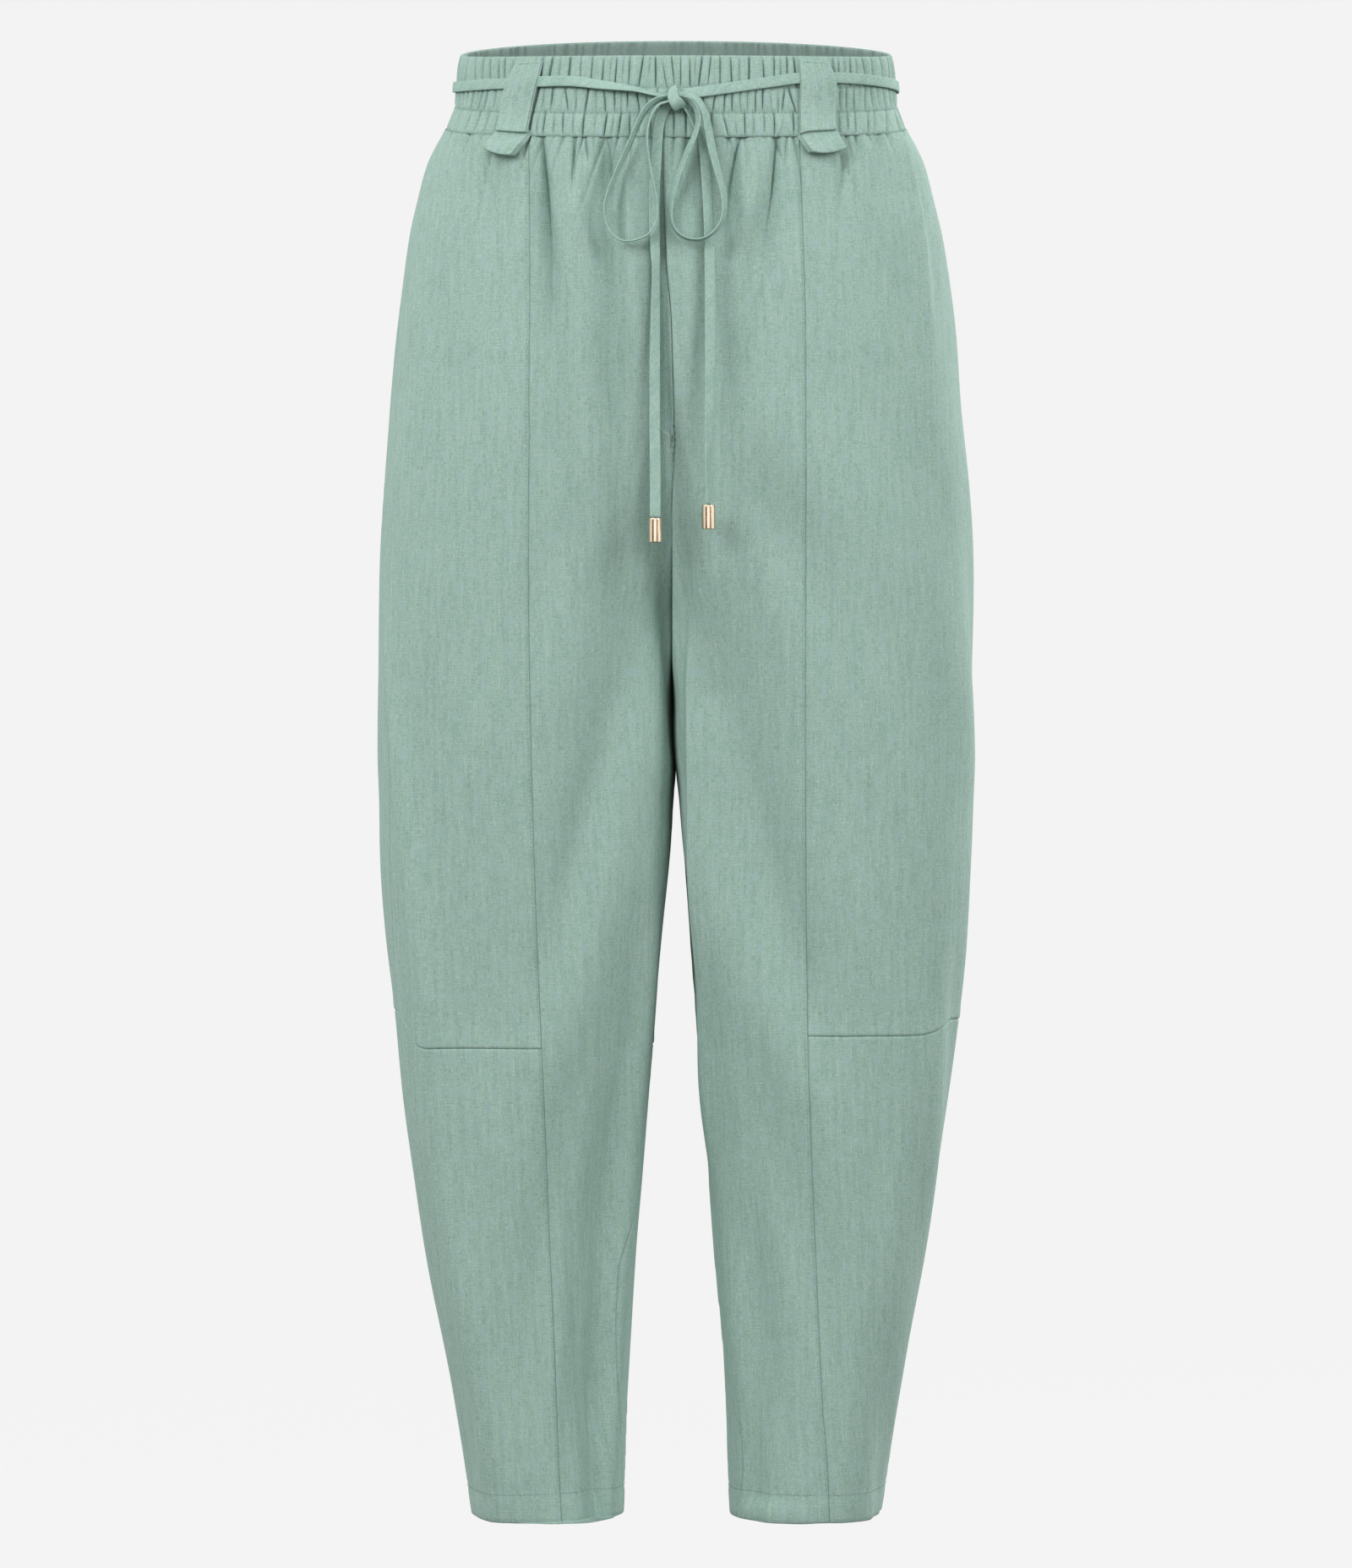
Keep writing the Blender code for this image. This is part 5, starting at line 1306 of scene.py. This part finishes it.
def tieBelt():
    columns, gap = 424, 1.7  # the run stops short of the front centre, inside the knot
    bearing = np.linspace(gap, 360 - gap, columns)
    bearing = np.where(bearing <= 180, bearing, bearing - 360)
    angle = np.radians(np.abs(bearing) - 90)
    mirror = np.stack((np.where(bearing < 0, -1.0, 1.0), np.ones(columns), np.ones(columns)), axis=1)
    height = tieRun.at("height", bearing)
    normal, _ = outward(angle, height)
    centres = (sectionPoint(angle, height) + normal * tieRun.at("out", bearing)[:, None]) * mirror
    normal = normal * mirror
    tangents = unit(np.gradient(centres, axis=0))
    upright = unit(np.cross(tangents, normal))
    turn = np.radians(tieRun.at("turn", bearing))[:, None]
    widthWays = upright * np.cos(turn) + normal * np.sin(turn)
    faceWays = np.cross(widthWays, tangents)
    piece = sweptStrip("tie_belt_strip", centres, widthWays, faceWays, tie["width"], tie["cloth"])
    ridden(piece, tieMaterial, "tie_linen", "tie_belt")


tieBelt()

knot = {  # each row of the wrap: its middle and its width
    "wrap": ((-0.6, -106.4, -11.0, 2.6), (-0.8, -109.0, -10.2, 3.2), (-1.3, -111.0, -11.2, 4.2),
             (-1.9, -112.6, -13.6, 6.0), (-2.0, -113.8, -16.4, 7.0), (-1.2, -114.4, -19.2, 7.8),
             (0.4, -114.0, -21.4, 8.6), (2.0, -112.4, -23.0, 9.0), (3.2, -110.2, -23.8, 8.4),
             (3.6, -107.8, -23.0, 7.2)),
    "cloth": 1.6, "way": (0.889, 0.0, 0.459),
    "core": ((0.2, -109.6, -17.8), (4.8, 2.8, 5.4)),
    # the strips' ways on inside the knot: which end of which strip, and the rows from there
    "strands": (("tie_bow_left", "start", ((-2.4, -109.6, -17.0, 72),)),
                ("tie_bow_left", "finish", ((-2.8, -110.9, -19.6, 76),)),
                ("tie_bow_right", "start", ((1.6, -109.8, -14.6, 70),)),
                ("tie_bow_right", "finish", ((2.0, -110.6, -17.4, 72),)),
                ("tie_end_left", "start", ((-1.6, -108.9, -18.6, 30), (-4.2, -108.0, -21.0, 16))),
                ("tie_end_right", "start", ((1.8, -109.2, -18.4, 66), (4.4, -108.2, -21.0, 66)))),
    "lap": 3, "slimmer": 0.96,
}


def knotStrand(name, end, inside):
    # goes on from the end of a strip, and laps a little way inside it
    rows = tieRoutes[name]
    starts = end == "start"
    route, _ = smoothRoute((*inside, *rows[:3]) if starts else (*rows[-3:], *inside), 0.8)
    meets = np.array(rows[0] if starts else rows[-1])[:3]
    nearest = int(np.argmin(np.linalg.norm(route[:, :3] - meets, axis=1)))
    route = route[:nearest + knot["lap"]] if starts else route[nearest - knot["lap"] + 1:]
    widthWays, faceWays = turnedWays(route)
    return sweptStrip(f"strand_{name}_{end}", route[:, :3], widthWays * knot["slimmer"],
                      faceWays * knot["slimmer"], tie["width"], tie["cloth"])


def tieKnot():
    route, _ = smoothRoute(knot["wrap"], 0.7)
    route, widths = route[:, :3], route[:, 3]
    tangents = unit(np.gradient(route, axis=0))
    widthWays = unit(np.array(knot["way"]) - tangents * (tangents @ np.array(knot["way"]))[:, None])
    faceWays = np.cross(tangents, widthWays)
    wrap = sweptStrip("tie_knot_wrap", route, widthWays * widths[:, None] / tie["width"], faceWays,
                       tie["width"], knot["cloth"])
    ridden(wrap, tieMaterial, "tie_linen", "tie_knot")
    centre, size = knot["core"]
    bm = bmesh.new()
    bmesh.ops.create_uvsphere(bm, u_segments=32, v_segments=20, radius=1.0, calc_uvs=False)
    layer = bm.loops.layers.uv.new("grain")
    for face in bm.faces:
        for loop in face.loops:
            loop[layer].uv = (loop.vert.co.x * 0.006, loop.vert.co.z * 0.006)
    bmesh.ops.scale(bm, vec=Vector(size) * mm, verts=bm.verts)
    bmesh.ops.translate(bm, vec=Vector(centre) * mm, verts=bm.verts)
    mesh = bpy.data.meshes.new("tie_knot_core")
    bm.to_mesh(mesh)
    bm.free()
    mesh.shade_smooth()
    core = bpy.data.objects.new("tie_knot_core", mesh)
    bpy.context.scene.collection.objects.link(core)
    ridden(core, tieMaterial, "tie_linen")
    ridden(joinedPiece("tie_knot_strands", [knotStrand(*strand) for strand in knot["strands"]]),
           tieMaterial, "tie_linen")


tieKnot()
print("tie made")


stitch = {"length": 1.7, "gap": 0.9, "width": 0.27, "height": 0.24}


def stitched(name, lines, size=stitch):
    # a row of short stitches along each line of points, lying along it on the cloth
    whole = bmesh.new()
    for points, normals in lines:
        lengths = np.concatenate(([0.0], np.cumsum(np.linalg.norm(np.diff(points, axis=0), axis=1))))
        step = size["length"] + size["gap"]
        count = int(lengths[-1] / step)
        starts = np.arange(count) * step + size["gap"]
        ends = starts + size["length"]
        first = np.column_stack([np.interp(starts, lengths, points[:, i]) for i in range(3)])
        last = np.column_stack([np.interp(ends, lengths, points[:, i]) for i in range(3)])
        out = np.column_stack([np.interp((starts + ends) / 2, lengths, normals[:, i]) for i in range(3)])
        bm = bmesh.new()
        for a, b, normal in zip(first, last, out):
            along, up = Vector(b - a), Vector(normal).normalized()
            beside = up.cross(along).normalized()
            up = along.cross(beside).normalized()
            turn = Matrix((along / 2, beside * size["width"], up * size["height"])).transposed().to_4x4()
            place = Matrix.Translation(Vector((a + b) / 2)) @ turn
            bmesh.ops.create_icosphere(bm, subdivisions=1, radius=1.0, matrix=Matrix.Scale(mm, 4) @ place)
        part = bpy.data.meshes.new("part")
        bm.to_mesh(part)
        bm.free()
        whole.from_mesh(part)
        bpy.data.meshes.remove(part)
    bmesh.ops.recalc_face_normals(whole, faces=whole.faces)
    mesh = bpy.data.meshes.new(name)
    whole.to_mesh(mesh)
    whole.free()
    mesh.shade_smooth()
    piece = bpy.data.objects.new(name, mesh)
    bpy.context.scene.collection.objects.link(piece)
    return ridden(piece, threadMaterial, "linen")


def onCloth(side, angle, height, lift):
    points = skin(side, angle, height, relief(side, angle, height)[0] + lift)
    normals, _ = outward(angle, height)
    return points, normals * np.array((sides[side], 1, 1))


for side in sides:
    height = np.linspace(-46, -919, 600)
    _, stretch = outward(panelSeam(side, height), height)
    panelLine = onCloth(side, panelSeam(side, height) - sides[side] * 1.7 / stretch, height, 0.24)
    start = panelSeam(side, np.array([-620.0]))[0] + 0.03
    angle = np.linspace(start, innerBack(side, np.array([-620.0]))[0] - 0.02, 500)
    kneeLine = onCloth(side, angle, knee(side, angle) + 1.7, 0.22)
    angle = np.linspace(-np.pi, np.pi, 500)
    hemLine = onCloth(side, angle, np.full(500, levels["hemTurn"]), 0.05)
    stitched(f"panel_stitches_{side}", [panelLine, kneeLine, hemLine])
bandStitch = dict(stitch, length=1.6, gap=1.1, width=0.28, height=0.36)
stitched("band_stitches", bandStitchLines, bandStitch)


def loopStitches():
    lines = []
    for left, right, height, out in ((-101.9, -88.0, 7.7, 2.55), (80.4, 97.4, 7.8, 2.7)):
        x = np.linspace(left, right, 30)
        lines.append(frontPoint(x, np.full(30, height), np.full(30, out)))
    stitched("loop_stitches", lines, dict(stitch, length=1.2, gap=0.8, width=0.25))
    tack = []
    for height in np.arange(7.2, -0.8, -1.05):
        x = np.linspace(99.4, 102.9, 6)
        tack.append(frontPoint(x, np.full(6, height), np.full(6, 1.9)))
    stitched("bar_tack", tack, dict(stitch, length=2.6, gap=0.35, width=0.34, height=0.34))


loopStitches()
print("stitches made")


def staged(name, size, place, colour, glow):
    bm = bmesh.new()
    bmesh.ops.create_circle(bm, cap_ends=True, segments=96, radius=size)
    bmesh.ops.translate(bm, vec=place, verts=bm.verts)
    mesh = bpy.data.meshes.new(name)
    bm.to_mesh(mesh)
    bm.free()
    floor = bpy.data.objects.new(name, mesh)
    bpy.context.scene.collection.objects.link(floor)
    finish = Finish(name)
    finish.set(colour=colour, Roughness=1.0, Specular_IOR_Level=0.0, Emission_Color=(1.0, 1.0, 1.0),
               Emission_Strength=glow)
    mesh.materials.append(finish.material)
    return floor


room = {"floor": -1.25, "backdrop": 0.896, "below": 0.10, "above": 0.78}
floor = staged("floor", 4.5, (0, 0, room["floor"]), (0.012, 0.012, 0.012), 0.885)
floor.visible_diffuse = floor.visible_glossy = False


def metalCard(name, start, end, glow, tint=(1.0, 0.80, 0.66), reach=3.0):
    # an upright curved card that shows only in polished metal: its two ends in degrees from the front
    bm = bmesh.new()
    low, high = bm.verts.new((0, -reach, -1.6)), bm.verts.new((0, -reach, 1.6))
    edge = bm.edges.new((low, high))
    bmesh.ops.rotate(bm, verts=bm.verts, cent=(0, 0, 0),
                     matrix=Matrix.Rotation(math.radians(start), 3, "Z"))
    bmesh.ops.spin(bm, geom=[low, high, edge], cent=(0, 0, 0), axis=(0, 0, 1),
                   angle=math.radians(end - start), steps=12)
    mesh = bpy.data.meshes.new(name)
    bm.to_mesh(mesh)
    bm.free()
    card = bpy.data.objects.new(name, mesh)
    bpy.context.scene.collection.objects.link(card)
    finish = Finish(name)
    finish.set(colour=(0.0, 0.0, 0.0), Roughness=1.0, Specular_IOR_Level=0.0, Emission_Color=tint,
               Emission_Strength=glow)
    mesh.materials.append(finish.material)
    card.visible_camera = card.visible_diffuse = card.visible_shadow = card.visible_transmission = False


plainWhite = (1.0, 1.0, 1.0)
for name, *settings in (("card_left", -50, -27, 0.08), ("card_right", 20, 42, 0.32),
                        ("card_front", -22, 15, 1.5, plainWhite),
                        ("card_far_left", -104, -56, 0.95, plainWhite),
                        ("card_far_right", 48, 104, 1.15, plainWhite), ("card_edge_left", -150, -116, 0.06),
                        ("card_edge_right", 116, 150, 0.06)):
    metalCard(name, *settings)

world = bpy.data.worlds.new("studio")
bpy.context.scene.world = world
world.use_nodes = True
nodes, links = world.node_tree.nodes, world.node_tree.links
# the room is brighter above than below; the camera sees one plain pale tone
way = nodes.new("ShaderNodeTexCoord")
split = nodes.new("ShaderNodeSeparateXYZ")
rise = nodes.new("ShaderNodeMapRange")
rise.inputs[1].default_value, rise.inputs[2].default_value = -1.0, 1.0
rise.inputs[3].default_value, rise.inputs[4].default_value = room["below"], room["above"]
links.new(way.outputs["Generated"], split.inputs[0])
links.new(split.outputs["Z"], rise.inputs[0])
links.new(rise.outputs[0], nodes["Background"].inputs["Strength"])
nodes["Background"].inputs["Color"].default_value = (0.93, 1.0, 0.95, 1)
seen = nodes.new("ShaderNodeBackground")
seen.inputs["Color"].default_value = (1, 1, 1, 1)
seen.inputs["Strength"].default_value = room["backdrop"]
path = nodes.new("ShaderNodeLightPath")
either = nodes.new("ShaderNodeMixShader")
links.new(path.outputs["Is Camera Ray"], either.inputs["Fac"])
links.new(nodes["Background"].outputs[0], either.inputs[1])
links.new(seen.outputs[0], either.inputs[2])
links.new(either.outputs[0], nodes["World Output"].inputs["Surface"])

lights = {  # place, size, power
    "key": ((-2.1, -2.4, 1.25), (1.7, 1.5), 60), "right": ((2.8, -2.0, 1.1), (1.5, 2.2), 50),
    "left": ((-3.0, -0.3, 0.9), (1.5, 2.2), 12), "front": ((0.9, -3.4, 0.9), (1.6, 1.6), 18),
    "behindRight": ((2.6, 2.6, 1.3), (1.8, 1.6), 110), "behindLeft": ((-2.6, 2.4, 0.8), (2.0, 2.0), 34),
}
for name, (place, size, power) in lights.items():
    lamp = bpy.data.lights.new(name, "AREA")
    lamp.shape = "RECTANGLE"
    lamp.size, lamp.size_y = size
    lamp.energy = power
    light = bpy.data.objects.new(name, lamp)
    light.location = place
    light.rotation_euler = (Vector((0, 0, -0.3)) - Vector(place)).to_track_quat("-Z", "Y").to_euler()
    bpy.context.scene.collection.objects.link(light)
print("room lit")
